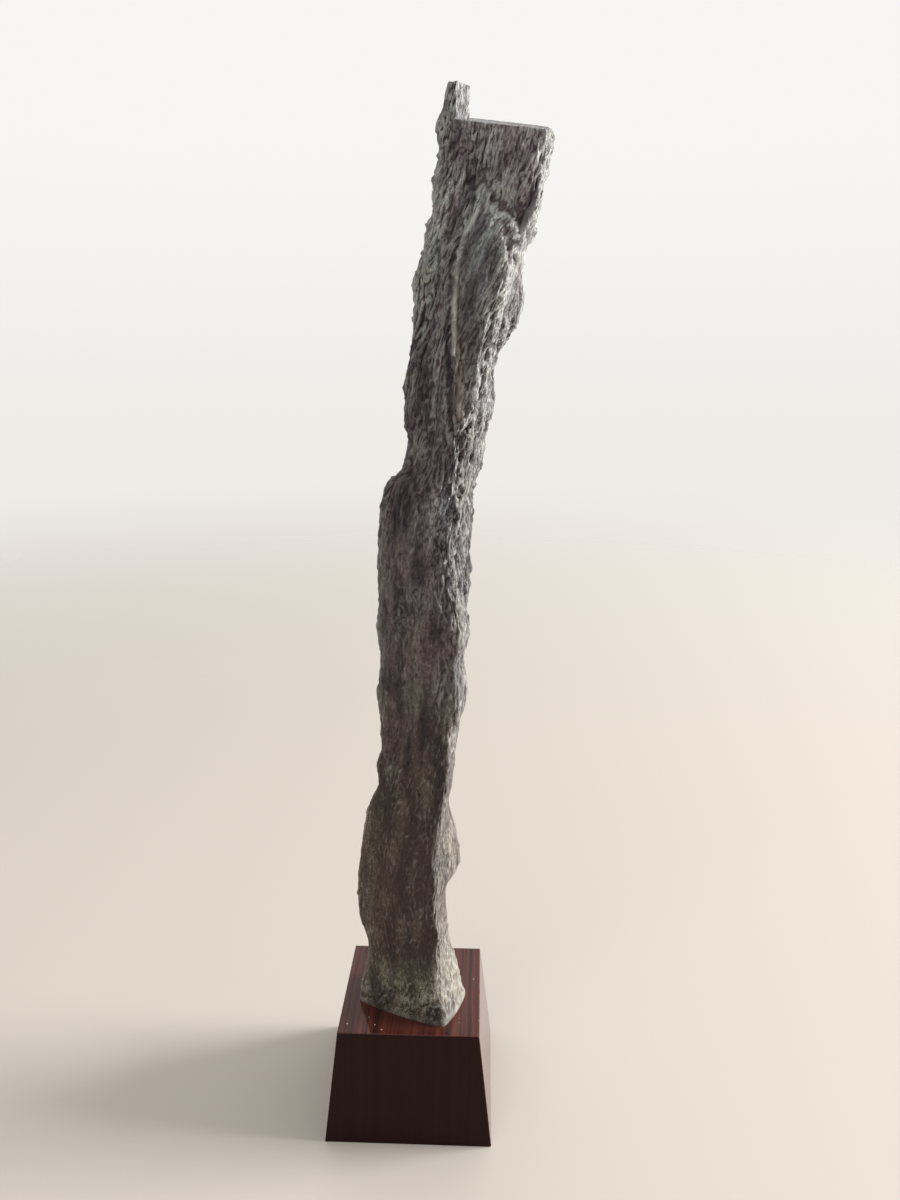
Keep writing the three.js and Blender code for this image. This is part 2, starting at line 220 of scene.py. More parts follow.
def finer(rings):
    """The grid with even rows, and with columns spread evenly round the stone."""
    height = rings[:, 0, 2]
    wanted = np.linspace(height[0], height[-1], int((height[-1] - height[0]) / ROW_STEP) + 1)
    rows = spline(rings, np.interp(wanted, height, np.arange(len(height))), wraps=False)
    stretch = np.linalg.norm(np.roll(rings, -1, axis=1) - rings, axis=2).mean(axis=0)
    along = np.concatenate([[0], np.cumsum(stretch)])
    places = np.interp(np.arange(FINE_COLUMNS) / FINE_COLUMNS * along[-1], along, np.arange(len(along)))
    return spline(rows.transpose(1, 0, 2), places, wraps=True).transpose(1, 0, 2)


smooth = finer(rings)
print("fine grid:", smooth.shape[:2], "quads:", (smooth.shape[0] - 1) * smooth.shape[1])

# %% [markdown]
# The real foot and the right border of the body are rounder than the solid. There each point moves towards
# the middle of its neighbours in the ring, which rounds the corners and leaves flat stretches alone.

# %% Ease the corners
FOOT_ROUNDING, BODY_ROUNDING = 13, 15
BODY_SHARE = 0.85


def rise(values, low, high):
    """0 below low, 1 above high, and smooth between them. high may lie under low."""
    t = np.clip((values - low) / (high - low), 0, 1)
    return t * t * (3 - 2 * t)


def between(values, low, full, still_full, high):
    """Rises from low to full, stays 1, and falls again from still_full to high."""
    return rise(values, low, full) * rise(values, high, still_full)


def eased(grid, columns):
    """Each point moved to the average of its neighbours in the ring."""
    weights = np.hanning(2 * columns + 3)[1:-1]
    total = sum(w * np.roll(grid, i - columns, axis=1) for i, w in enumerate(weights))
    return total / weights.sum()


def normals_of(grid):
    """The direction in which the surface looks, at each point."""
    across = np.roll(grid, -1, axis=1) - np.roll(grid, 1, axis=1)
    out = np.cross(across, np.gradient(grid, axis=0))
    return out / np.linalg.norm(out, axis=2, keepdims=True)


at_foot = between(smooth[..., 2], 36.5 * MM, 41 * MM, 52 * MM, 66 * MM)[..., None]
smooth += at_foot * (eased(smooth, FOOT_ROUNDING) - smooth)
at_body = between(smooth[..., 2], 120 * MM, 150 * MM, 195 * MM, 215 * MM)[..., None]
smooth += BODY_SHARE * at_body * (eased(smooth, BODY_ROUNDING) - smooth)
outward = normals_of(smooth)
print("corners eased on", round(float(((at_foot + at_body) > 0.5).mean()), 2), "of the rows")

# %% [markdown]
# ## Straightening the grain
#
# Schist splits into fibres that follow the stone as it leans and bends. Noise in plain space would cut
# across them. So the noise is read in straightened coordinates: the middle line of the stone is taken off,
# and the height is squeezed by as much as the fibres are longer than wide. The fibres run straight on past
# the shoulder, where the outline steps in, so up to there the grain follows a smoothed middle line.

# %% Grain space
WEAVE = 0.55 * MM
HEAD_LEAN, HEAD_STARTS = 0.12, 228 * MM
GRAIN_EASING = 45
PAST_SHOULDER = 204 * MM, 222 * MM

middle_line = smooth.mean(axis=1, keepdims=True) * [1, 1, 0]
middle_line[..., 0] += HEAD_LEAN * np.maximum(smooth[:, :1, 2] - HEAD_STARTS, 0)
straight = smooth - middle_line
middle_line = middle_line[:, 0]
window = np.hanning(2 * GRAIN_EASING + 1)
beyond = np.pad(middle_line, ((GRAIN_EASING, GRAIN_EASING), (0, 0)), mode="reflect", reflect_type="odd")
grain_line = np.stack([np.convolve(beyond[:, i], window / window.sum(), "valid") for i in range(3)], axis=-1)
grain_line += rise(smooth[:, 0, 2:], *PAST_SHOULDER) * (middle_line - grain_line)


def field(places, width, length, seed):
    """Noise over the surface, in lumps of this many mm across the grain and along it."""
    scaled = places.reshape(-1, 3) / (width * MM, width * MM, length * MM) + seed
    return np.array([noise.noise(p) for p in scaled.tolist()]).reshape(places.shape[:-1])


def wander(places, reach, width, length, seed):
    """The places pushed sideways a little, so that fibres weave instead of running dead straight."""
    moved = places.copy()
    moved[..., 0] += reach * field(places, width, length, seed)
    moved[..., 1] += reach * field(places, width, length, seed + 31.7)
    return moved


woven = wander(smooth - grain_line[:, None], 3 * WEAVE, 9, 40, 3.1)
woven = wander(woven, WEAVE, 2.6, 12, 8.4)
woven = wander(woven, 0.5 * WEAVE, 1.1, 3.2, 10.9)
print("grain line is off the middle by up to", round(np.abs(grain_line - middle_line).max() / MM, 1), "mm")

# %% [markdown]
# ## Zones
#
# The same rock looks different from place to place. The neck and the head are gnarled, the hood and the
# channel under it are worn smooth, the body is a calm flat face with a ragged right border, and the foot is
# a granular crust. Each zone is a soft mask between 0 and 1 over the grid, made from heights and soft ovals
# in millimetres, so each can be moved and judged by itself.

# %% Zone masks
x_mm, z_mm = smooth[..., 0] / MM, smooth[..., 2] / MM
faces_front = np.clip((-outward[..., 1] - 0.1) / 0.5, 0, 1)
faces_right = np.clip((outward[..., 0] - 0.25) / 0.5, 0, 1)


def zone(low, full, still_full=None, high=None):
    """By height in mm: rises from low to full, and falls again from still_full to high if they are given."""
    return rise(z_mm, low, full) if high is None else between(z_mm, low, full, still_full, high)


def oval(x, z, wide, tall, lean=0.0):
    """A soft oval on the front face, by its middle and half sizes in mm."""
    across = (x_mm - x - lean * (z_mm - z)) / wide
    return np.exp(-across**2 - ((z_mm - z) / tall) ** 2) * faces_front


foot = zone(50, 42)
seated = zone(38.5, 35.6)
gnarled = 0.14 + 0.86 * zone(178, 216)
calm = np.maximum.reduce([
    oval(16.2, 236, 3.2, 15), oval(18.2, 250, 4.0, 13, 0.12), 0.6 * oval(26.5, 277, 6, 6),
    0.5 * oval(-1, 150, 7, 22), 0.4 * oval(-2, 75, 8, 20), 0.6 * oval(0.5, 215, 4, 9),
    0.9 * oval(26.4, 261, 3.6, 8), 0.7 * oval(19.5, 267, 2.2, 3),
])
spire = zone(276, 284) * rise(x_mm, 18, 15)
flank = rise(outward[..., 0], 0.2, 0.6) * (0.3 + 0.45 * zone(150, 185))
broken_border = 0.7 * rise(straight[..., 0], 2.5 * MM, 6 * MM) * zone(150, 165) * faces_front
ragged = rise(straight[..., 0], 2 * MM, 6 * MM) * zone(104, 122) * (1 - spire)
border = rise(straight[..., 0], 1 * MM, 4 * MM) * zone(104, 122, 192, 206)
left_edge = rise(-outward[..., 0], 0.4, 0.8) * zone(56, 64) * (1 - spire)
fibrous = zone(212, 236)
below_recess = np.exp(-(((x_mm - 28) / 3) ** 2) - ((z_mm - 249) / 7) ** 2)
below_recess *= rise(outward[..., 1], 0.5, 0)
always = np.clip(gnarled * (1 - 0.85 * calm), 0.1, 1)
rough = np.maximum.reduce([always, flank, broken_border * (1 - calm)])
rough *= (1 - 0.55 * foot) * (1 - 0.6 * spire) * (1 - 0.75 * below_recess)
print("rough share of the surface:", round(float((rough > 0.5).mean()), 2))

# %% [markdown]
# ## Fibres, pits and flakes
#
# Bump alone would leave the outline smooth, so the mesh itself is moved. Four kinds of relief do most of
# it. Folded noise, the absolute value of ordinary noise, has sharp valleys and round backs, as bundles of
# fibres do. Upside down it has thin crests. A saw-tooth along the height gives flakes that stand out more
# and more downwards and then break off. And cells with a flat face each, tilted its own way, look like rock
# that broke.

# %% Kinds of relief
def folded(width, length, seed):
    """Round backs with sharp valleys between them, about 0 on average."""
    return np.abs(field(woven, width, length, seed)) * 2 - 0.45


def crested(width, length, seed):
    """Thin sharp backs with wide hollows between them, about 0 on average."""
    return -folded(width, length, seed)


def flakes(width, length, seed):
    """Scales that rise downwards and end in a broken edge."""
    phase = z_mm / length + 1.7 * field(woven, width, 4 * length, seed)
    return 1 - phase % 1 - 0.5


def facets(width, length, seed):
    """Small flat faces, each tilted its own way, with broken steps between them."""
    heights = []
    for place in (woven.reshape(-1, 3) / (width, width, length) / MM + seed).tolist():
        middle = noise.voronoi(place)[1][0]
        tilt = 2 * noise.cell_vector(7.3 * middle) - Vector((1, 1, 1))
        heights.append((Vector(place) - middle).dot(tilt) + 0.3 * (2 * noise.cell(5.1 * middle) - 1))
    return np.array(heights).reshape(x_mm.shape)


def patches(places, width, length, seed, none, full):
    """0 where the noise lies beyond none, 1 where it lies beyond full."""
    return rise(field(places, width, length, seed), none, full)


broken, shards, slabs = facets(2.2, 6.5, 13.3), facets(1.2, 3.4, 17.3), facets(3.8, 10, 21.3)
print("facets in mm:", np.round(np.percentile(broken, [0, 50, 100]), 2))

# %% [markdown]
# The relief is summed from the large to the small, as a carver would rough it out. Each layer is a kind of
# relief of one size, weighed by the zone it belongs to: ropes of fibres on the neck, long threads on the
# head, broken slabs on the border, nicks on the left edge, and lumps, grains and pits on the crust of the
# foot.

# %% Relief from noise
strands, braid, fibres = folded(3.6, 20, 11.3), crested(1.9, 8.5, 23.9), crested(1.05, 4.4, 29.4)
threads, long_threads = field(woven, 0.6, 2.6, 41.2), crested(0.9, 5.5, 43.7)
crumbs = field(woven, 0.9, 1.6, 47.6)
scales = flakes(3.2, 7.5, 57.7) * patches(woven, 5, 24, 63.1, -0.1, 0.25)
nicks = flakes(2.4, 6.5, 61.3) * patches(woven, 3, 9, 66.6, -0.25, 0.15)
pits, specks = patches(woven, 1.5, 4.5, 71.5, 0.2, 0.5), patches(woven, 0.9, 2.4, 77.1, 0.25, 0.5)
splits = rise(np.abs(field(woven, 4.6, 50, 83.3)), 0.04, 0.0)
torn_here = 0.2 + 0.8 * patches(woven, 4.5, 12, 87.7, -0.2, 0.25)
hollows = patches(woven, 4, 11, 88.4, 0.1, 0.42)
border_lumps = field(straight, 4, 9, 89.2) + 0.5 * field(straight, 2.2, 5, 90.4)
chips = field(straight, 1.4, 2.8, 92.4)
crust_lumps = field(smooth, 2.4, 3.2, 91.9) + 0.8 * field(smooth, 4.5, 4.5, 94.1)
crust_grains = field(smooth, 0.9, 1.5, 97.3)
crust_pits = patches(smooth, 1.2, 1.6, 99.1, 0.2, 0.5)
ropes = 1 - 0.85 * border
relief = rough * ropes * (0.45 * strands + 0.22 * braid - 0.5 * splits - 0.5 * hollows)
relief += rough * (0.45 * scales + 0.6 * broken + 0.4 * border * shards + 0.7 * border * slabs)
relief += rough * torn_here * (0.3 * ropes * fibres + 0.3 * shards - 0.6 * (1 - 0.5 * border) * pits)
relief += rough * fibrous * (0.25 * strands + 0.3 * fibres + 0.6 * long_threads - 0.3 * broken)
fine_share = 0.16 + 0.84 * rough * torn_here
relief += fine_share * (0.08 * fibres + 0.34 * threads + 0.3 * crumbs - 0.4 * specks)
relief += foot * (0.42 * crust_lumps + 0.22 * crust_grains - 0.2 * crust_pits)
relief += ragged * (0.6 * border_lumps + 0.4 * chips)
relief += left_edge * (0.6 * nicks + 0.4 * chips) * (1 - 0.75 * fibrous)
print("relief in mm:", np.round(np.percentile(relief, [0, 5, 50, 95, 100]), 2))

# %% [markdown]
# ## Features with a place of their own
#
# Noise can't put the groove beside the hood, the thin crease along it, the flake tips that hang at its
# right or the scoop in the toe. Those are placed one by one on the front, in millimetres as measured from
# the picture. A line is a list of (x, z) points with a width and a height. A tip is a tongue that ends
# sharply below.

# %% Lines and tips
CREASE = [
    (18, 263), (16.5, 260), (14.6, 257.3), (13.8, 254.5),
    (13.1, 250.4), (12.5, 245.8), (12.3, 240), (12.3, 229)]
LOBE_EDGE = [(-14, 58), (-12.9, 67), (-10.2, 79), (-9.2, 95), (-8.6, 106)]
HOOD_RIDGE = [
    (22.2, 266), (23.2, 262), (23.6, 259), (24.8, 254),
    (24.0, 250), (24.6, 246), (23.2, 240), (21.8, 232)]
RIM = [(21.9, 267), (22.9, 264), (24.5, 262), (25.8, 260), (26.8, 257.5), (27.5, 255.2), (27.8, 253.8)]
WALL_TOP = [(20.3, 265.5), (20.5, 263.5), (21.7, 260.4), (22.6, 254)]
RIB = [(12.6, 246), (12.7, 238), (13.2, 229), (13.7, 220), (14.0, 214)]
TIPS = [
    (30.7, 257.2, 1.5, 12, 0.5), (28.6, 254.5, 1.3, 9, 0.5), (28.0, 235.4, 1.5, 10, 0.8),
    (24.2, 230.3, 1.4, 8, 0.6), (21.2, 227.6, 1.3, 7, 0.6), (13.6, 149.5, 1.8, 8, 0.6),
    (13.4, 128.2, 1.8, 7, 0.6), (14.6, 76.2, 2.6, 9, 0.5)]


def line(points, wide, height, on=None):
    """A ridge, or a groove if height is negative, along a line of (x, z) on the front."""
    nearest = np.full(x_mm.shape, np.inf)
    for (x0, z0), (x1, z1) in zip(points, points[1:]):
        run = (x1 - x0, z1 - z0)
        share = ((x_mm - x0) * run[0] + (z_mm - z0) * run[1]) / (run[0] ** 2 + run[1] ** 2)
        share = np.clip(share, 0, 1)
        nearest = np.minimum(nearest, np.hypot(x_mm - x0 - share * run[0], z_mm - z0 - share * run[1]))
    return height * np.exp(-((nearest / wide) ** 2)) * (faces_front if on is None else on)


def right_of(points):
    """How far each point lies to the right of a line of (x, z), in mm."""
    x, z = np.array(sorted(points, key=lambda point: point[1])).T
    return x_mm - np.interp(z_mm, z, x)


def moved_right(points, by):
    """The same line, this many mm further right."""
    return [(x + by, z) for x, z in points]


def tip(x, z, wide, tall, height, lean=0.2):
    """A flake that hangs down to a point at (x, z)."""
    up = (z_mm - z) / tall
    half = wide * (0.2 + 0.8 * np.clip(up, 0, 1) ** 0.7)
    across = (x_mm - x - lean * (z_mm - z)) / half
    body = rise(up, -0.02, 0.04) * rise(up, 1.0, 0.25) * rise(np.abs(across), 1.0, 0.6)
    return height * body * np.clip(faces_front + faces_right, 0, 1)


print("the crease is", round(float(np.hypot(*np.diff(CREASE, axis=0).T).sum()), 1), "mm long")

# %% [markdown]
# The hood falls away to the right of its ridge, the left lobe lies behind the face, and then come the
# single grooves, ribs and tips. The recess under the head is another matter: its left wall is too steep for
# a push along the surface, so it is filled towards the viewer, up to the rim that is seen in the picture.

# %% Place them
lobe_side = right_of(LOBE_EDGE) + 0.5 * field(smooth, 2, 5, 105.1)
hood_slope = -0.34 * np.clip(right_of(HOOD_RIDGE), 0, 4) * zone(228, 238, 262, 267) * faces_front
set_back = -0.7 * rise(x_mm, 25.5, 29) * zone(234, 246, 262, 272) * faces_front
round_corner = rise(outward[..., 1], 0.1, -0.15)
placed = sum([
    hood_slope,
    set_back,
    line(CREASE, 0.45, 0.7, on=round_corner),
    line(moved_right(CREASE, 1.1), 0.6, -0.4, on=round_corner),
    -0.6 * rise(lobe_side, 0.9, -0.9) * zone(52, 66, 104, 107) * faces_front,
    line([(11.4, 247), (10.9, 240), (10.7, 235), (10.6, 229), (11.2, 219), (11.5, 210)], 0.55, -0.9),
    line([(9.2, 258), (9.6, 250), (9.2, 243)], 0.9, 0.5),
    line([(14.2, 262.4), (15.5, 259.4)], 0.3, 0.35),
    line([(28.6, 264), (28.4, 260), (27.9, 256.5)], 1.2, -0.6),
    line([(27.2, 253.5), (27.4, 249.5)], 1.4, 0.6, on=rise(outward[..., 1], 0.5, 0)),
    line([(15.6, 273.6), (15.9, 270.5), (16.2, 268.5)], 1.1, -0.9),
    line([(19.3, 272.4), (19.2, 269.8)], 0.8, -0.7),
    line([(18.6, 276.6), (15.2, 275), (14.2, 270)], 0.4, 0.5),
    line([(1.6, 196), (2.6, 188), (1.2, 178)], 0.7, 0.35),
    line([(7.4, 167), (9.6, 160.5), (12, 156.5)], 0.4, 0.5),
    *(tip(*tongue) for tongue in TIPS),
    -0.5 * oval(7.8, 37.8, 3.0, 2.8),
    line([(6.4, 40.6), (9.0, 41.0), (10.8, 39.4), (11.4, 36.8)], 0.5, 0.45, on=1.0),
])
filled = 2.4 * np.clip(right_of(WALL_TOP) / 2.2, 0, 1) * rise(right_of(RIM), 0.7, -0.4)
filled *= zone(250.5, 254, 260.5, 265.5)
filled += 1.7 * np.exp(-(((x_mm - 22.2) / 1.2) ** 2) - ((z_mm - 267.2) / 2.0) ** 2)
filled *= rise(outward[..., 1], 0.3, -0.1)
print("placed features in mm:", round(float(placed.min()), 2), "to", round(float(placed.max()), 2))

# %% [markdown]
# ## Raising the surface
#
# The relief is added along the surface's own direction. In the seat it fades to nothing, and the foot is
# let out by the width of the fitting gap, so that no dark slit shows between stone and wood.

# %% Displace the grid
SEAT_GAP = 0.27

grid = smooth + outward * ((relief + placed) * (1 - seated) + SEAT_GAP * seated)[..., None] * MM
grid[..., 1] -= filled * MM


def grid_mesh(grid, name):
    """A closed mesh of quads over the grid, with one face for each end."""
    rows, columns = grid.shape[:2]
    corner = np.arange(rows * columns).reshape(rows, columns)
    after = np.roll(corner, -1, axis=1)
    quads = np.stack([corner[:-1], after[:-1], after[1:], corner[1:]], axis=-1).reshape(-1, 4).tolist()
    mesh = bpy.data.meshes.new(name)
    ends = [corner[0, ::-1].tolist(), corner[-1].tolist()]
    mesh.from_pydata(grid.reshape(-1, 3).tolist(), [], quads + ends)
    mesh.validate()
    return mesh


def placed_object(name, mesh):
    """An object for the mesh, put into the scene."""
    made = bpy.data.objects.new(name, mesh)
    scene.collection.objects.link(made)
    return made


stone = placed_object("schist_stone", grid_mesh(grid, "schist_stone"))
print("stone before the saw:", len(stone.data.polygons), "faces")

# %% [markdown]
# ## The saw cuts
#
# The top right of the stone was sawn off flat and the spire was left standing. The three sawn planes are
# found on the solid, as its large flat faces, and the waste is cut away with a boolean. The edge of the cut
# then follows every fibre of the rough outline, as a real saw cut does. The spire's own walls are broken,
# not sawn, so the waste gets torn walls there.

# %% The waste
FLAT_AREA = 20 * MM**2
WASTE_REACH = 60 * MM
TORN_REACH, TORN_HEIGHT, TORN_STEP, TORN_DEPTH = 16 * MM, 16 * MM, 0.35 * MM, 0.6 * MM


def flat_faces(bm):
    """Middle and direction of each large flat face above the middle of the stone."""
    bmesh.ops.dissolve_limit(bm, angle_limit=math.radians(0.05), verts=bm.verts, edges=bm.edges)
    high = [f for f in bm.faces if f.calc_area() > FLAT_AREA and f.calc_center_median().z > 0.2]
    return [(f.calc_center_median(), f.normal.copy()) for f in high]


def waste(saw_plane, right_wall, back_wall):
    """All rock above the sawn plane that isn't the spire, as one L-shaped solid with torn walls."""
    sides = np.array([right_wall[1].xy, back_wall[1].xy])
    corner = np.linalg.solve(sides, [wall[1].xy.dot(wall[0].xy) for wall in (right_wall, back_wall)])
    to_left = np.array([-sides[1][1], sides[1][0]])
    to_viewer = np.array([sides[0][1], -sides[0][0]])
    close = np.arange(0, TORN_REACH, TORN_STEP)
    outline = [corner + reach * to_left for reach in [WASTE_REACH, *close[:0:-1]]]
    outline += [corner + reach * to_viewer for reach in [*close, WASTE_REACH]]
    outline += [corner + WASTE_REACH * np.array(away) for away in ((1.5, -1), (1.5, 1.5), (-1, 1.5))]
    outline = np.array(outline)
    place, direction = saw_plane
    levels = np.arange(0, TORN_HEIGHT, TORN_STEP)
    rows = []
    for level in levels:
        spots = np.column_stack([outline, np.full(len(outline), level)])
        torn = TORN_DEPTH * (0.45 - np.abs(field(spots, 1.5, 6, 12.7)) * 2)
        torn += 0.8 * TORN_DEPTH * field(spots, 0.8, 2.6, 17.9)
        shifted = outline + torn[:, None] * (sides[0] + sides[1])
        tilt = ((shifted - place.xy) @ np.array(direction.xy)) / direction.z
        rows.append(np.column_stack([shifted, place.z - tilt * (1 - level / levels[-1]) + level]))
    return placed_object("waste", grid_mesh(np.array(rows), "waste"))


flats = flat_faces(stone_solid)
walls = [f for f in flats if abs(f[1].z) < 0.1]
saw_plane = max((f for f in flats if 0.9 < f[1].z < 0.99), key=lambda f: f[0].z)
back_wall, right_wall = sorted(walls, key=lambda f: f[1].x)
print("walls of the spire:", len(walls), "sawn plane looks", [round(c, 3) for c in saw_plane[1]])

# %% [markdown]
# A boolean modifier is read once in its evaluated form and then thrown away, so that what stays is a plain
# mesh.

# %% Cut
def cut_away(piece, cutter):
    """A boolean difference, made at once, with the cutter thrown away."""
    modifier = piece.modifiers.new("cut", "BOOLEAN")
    modifier.operation = "DIFFERENCE"
    modifier.solver = "MANIFOLD"
    modifier.object = cutter
    evaluated = piece.evaluated_get(bpy.context.evaluated_depsgraph_get())
    mesh = bpy.data.meshes.new_from_object(evaluated)
    piece.modifiers.clear()
    piece.data = mesh
    mesh.name = piece.name
    bpy.data.objects.remove(cutter)


cut_away(stone, waste(saw_plane, right_wall, back_wall))
print("faces after the saw:", len(stone.data.polygons))

# %% [markdown]
# ## What the finish needs to know
#
# The colours follow the shape: backs of fibres are painted lighter, partly wear and partly painted highlight,
# hollows are painted darker, partly dust and partly painted shade, and the sawn face is smoother and paler.
# So each point gets a few numbers, kept as attributes of the mesh, which the material reads. How far a point
# stands proud is the difference between the mesh and a smoothed copy of it.

# %% Measuring the mesh
def vectors_of(mesh, name):
    """A vector for each point: "co" is its place and "normal" its direction."""
    values = np.empty(len(mesh.vertices) * 3, np.float32)
    mesh.vertices.foreach_get(name, values)
    return values.reshape(-1, 3).astype(float)


def smoothed(places, edges, rounds):
    """Each point moved again and again to the middle of its neighbours."""
    count = np.bincount(edges.ravel(), minlength=len(places))[:, None]
    for _ in range(rounds):
        total = np.zeros_like(places)
        for a, b in ((0, 1), (1, 0)):
            for axis in range(3):
                total[:, axis] += np.bincount(edges[:, a], places[edges[:, b], axis], len(places))
        places = 0.5 * places + 0.5 * total / count
    return places


def standing_proud(mesh, rounds, reach):
    """From -1 in a hollow to 1 on a crest, where reach is the height that counts as 1."""
    edges = np.empty(len(mesh.edges) * 2, np.int32)
    mesh.edges.foreach_get("vertices", edges)
    places = vectors_of(mesh, "co")
    gap = places - smoothed(places, edges.reshape(-1, 2), rounds)
    return np.clip((gap * vectors_of(mesh, "normal")).sum(axis=1) / reach, -1, 1)


def line_at(line_points, axis):
    """A line up the stone, read at the height of each point."""
    return np.interp(z_mm * MM, smooth[:, 0, 2], line_points[:, axis])


stone_points, stone_out = vectors_of(stone.data, "co"), vectors_of(stone.data, "normal")
x_mm, z_mm = stone_points[:, 0] / MM, stone_points[:, 2] / MM
faces_front = np.clip(-stone_out[:, 1] / 0.5, 0, 1)
looks_right, looks_left = stone_out[:, 0], -stone_out[:, 0]
stone_grain = stone_points - np.column_stack([line_at(grain_line, 0), line_at(grain_line, 1), 0 * z_mm])
off_middle = x_mm - line_at(middle_line, 0) / MM
print("points:", len(stone_points), "of which look forward:", int((faces_front > 0.5).sum()))

# %% [markdown]
# From here on x_mm, z_mm and faces_front belong to the finished mesh, so oval and line now give masks on
# it. The first group of masks says where things lie: crests and hollows, the right flank with its painted
# highlight, the torn neck and head, the left border with its painted rim light and the crust of the foot.
# Slow noise breaks up every boundary.

# %% Masks of the rock
patchy = field(stone_grain, 4, 12, 5.5)
mottled = field(stone_grain, 1.6, 5, 15.5)
uneven_z = z_mm + 10 * patchy
hood_shade = oval(16.2, 247, 2.8, 14, 0.12)
on_top = rise(x_mm, 20, 17)
uneven_crests = 0.4 + 0.6 * rise(patchy + 0.6 * mottled, -0.25, 0.2) + 0.3 * zone(215, 235)
# The flank mask is a painted highlight: rock that looks right is painted lighter, where the light falls.
lit_flank_limit = looks_right + 0.25 * mottled - 0.22 * zone(108, 125, 200, 214)
lit_flank_fades = 0.6 * between(uneven_z, 54, 66, 196, 209) + 0.5 * zone(268, 280) * on_top
lit_flank_fades += 0.5 * zone(228, 236, 254, 262)
towards_back = rise(stone_grain[:, 1] / MM + 2 * patchy, 0, 4)
torn_border = rise(off_middle + 2 * patchy, 2.5, 6) * zone(150, 165)
sawn_height = np.abs((stone_points - np.array(saw_plane[0])) @ np.array(saw_plane[1]))
masks = {
    # proud and bulk feed the wear and grime, which are partly a painted highlight on crests and painted shade
    # in hollows.
    "proud": standing_proud(stone.data, 4, 0.09 * MM) * uneven_crests * (1 - 0.6 * hood_shade),
    "bulk": standing_proud(stone.data, 40, 0.4 * MM),
    # painted highlight on the right flank
    "flank": rise(lit_flank_limit, 0.3, 0.75) * (1 - lit_flank_fades) * (1 - 0.6 * towards_back),
    "torn": 0.3 + (0.7 - 0.45 * hood_shade) * np.maximum(rise(uneven_z, 160, 215), torn_border),
    # Painted rim light: rock on the body that looks left is painted paler.
    "border": rise(looks_left + 0.3 * mottled, 0.3, 0.8) * zone(108, 120, 190, 205),
    "crust": rise(z_mm + 5 * patchy + 3 * mottled, 56, 44)
        + 0.6 * rise(x_mm + 2 * mottled, 9.5, 12.5) * zone(44, 60, 88, 112)
        + 0.3 * rise(x_mm + 2.5 * patchy, -9.5, -13.5) * zone(108, 90)
        + 0.25 * rise(patchy, 0.15, 0.45),
    "lobe": rise(right_of(LOBE_EDGE) + 0.5 * field(stone_points, 2, 5, 105.1), 0.6, -0.6)
        * zone(50, 60, 104, 110) * faces_front,
    # Paler towards the head: partly weathering, partly painted light that grows towards the top.
    "weathered": rise(z_mm + 8 * patchy, 188, 265),
    "low": rise(z_mm + 8 * patchy, 150, 100),
    "pitted": zone(272, 280) * rise(x_mm, 20, 18),
    "sawn": (sawn_height < 0.02 * MM).astype(float),
}
print("means:", {name: round(float(mask.mean()), 2) for name, mask in masks.items()})

# %% [markdown]
# The second group says how the rock is tinted from place to place: greenish and violet fields, ochre and
# pale fibres, the bluish grey hood, painted shade where little light falls, a painted highlight on the hood's
# rim, and the crease and the rib. Most are soft ovals, each given by its strength, its middle, its half sizes
# and its lean. "tone" is the light and dark of the rock itself, long streaks on the head and broader bands on
# the body, with a painted highlight on the hood's rim and painted shade on the toe and the foot's lower left.

# %% Masks of the tints
streaky = field(stone_grain, 2.4, 14, 19.5)
banded = field(stone_grain, 2.1, 20, 19.5)
body = zone(212, 198)
clouds = (0.6 - 0.15 * body) * patchy + (0.45 - 0.1 * body) * mottled + 0.5 * (1 - body) * streaky
clouds += 0.7 * body * banded + 0.35 * field(stone_grain, 8, 20, 25.5)
contrast = 1 + 0.5 * zone(135, 155, 185, 200) - 0.5 * zone(125, 100)
dark_side = np.maximum.reduce([
    zone(48, 56, 199, 207), 0.4 * zone(274, 280) * rise(x_mm, 20, 18),
    0.8 * zone(226, 236, 252, 262), 0.5 * zone(279, 283) * rise(x_mm, 20, 16)])
OVALS = {
    "green": [(0.6, 5.8, 249.5, 3.4, 5.5), (0.6, 20, 256, 4, 9)],
    "violet": [(0.7, 29, 267, 4, 8), (0.8, 6, 150, 7, 9), (0.8, -4, 186, 4, 12), (0.8, -2, 208, 5, 10)],
    "ochre": [(1, 25.4, 279.7, 1.2, 4), (0.9, 16.5, 212, 3, 6), (0.8, 10.2, 251, 1.4, 10)],
    # The oval at x 21.6 mm is a painted highlight on the hood's rim.
    "pale": [
        (0.9, 9.3, 188, 4, 8), (0.9, 10.3, 250, 1.6, 10), (0.35, 1.5, 163, 5, 9, 0.6),
        (0.4, 11, 180, 2.2, 15), (0.6, 17, 216, 3, 8), (0.7, 21.6, 266, 1.8, 2.2), (0.3, 23.2, 256, 1.8, 7)],
    "slate": [(1, 17.2, 248, 3.6, 13, 0.12)],
    "dim": [
        (1, 16.4, 235, 3.4, 14), (0.6, 16.6, 249, 2.4, 9, 0.1), (0.5, 21.5, 243, 1.2, 9),
        (0.6, 0.5, 214, 5, 9), (0.6, -4.6, 188, 4, 9), (0.3, 26, 264, 3, 6), (0.8, 9.6, 38.5, 3.6, 2.2),
        (0.4, -10, 40, 6, 3)],
    # The ovals at x 22 and 22.6 mm are a painted highlight on the hood's rim; the negative ones at the toe
    # and at x -10 mm are painted shade on the foot.
    "tone": [
        (0.4, 10.6, 250, 1.8, 9), (0.6, 22.6, 264, 2.2, 3.5), (0.4, 18.5, 264.5, 2.5, 2.5),
        (0.9, 22, 266.6, 2.0, 2.4), (0.45, 23.2, 256, 1.8, 7), (0.3, 25, 280, 5, 4), (-0.8, 7.8, 38, 3.4, 3),
        (-0.75, 11.1, 38.3, 1.5, 1.8), (-0.5, 12.0, 38.0, 1.0, 1.6), (-0.3, -10, 44, 5, 6)],
}
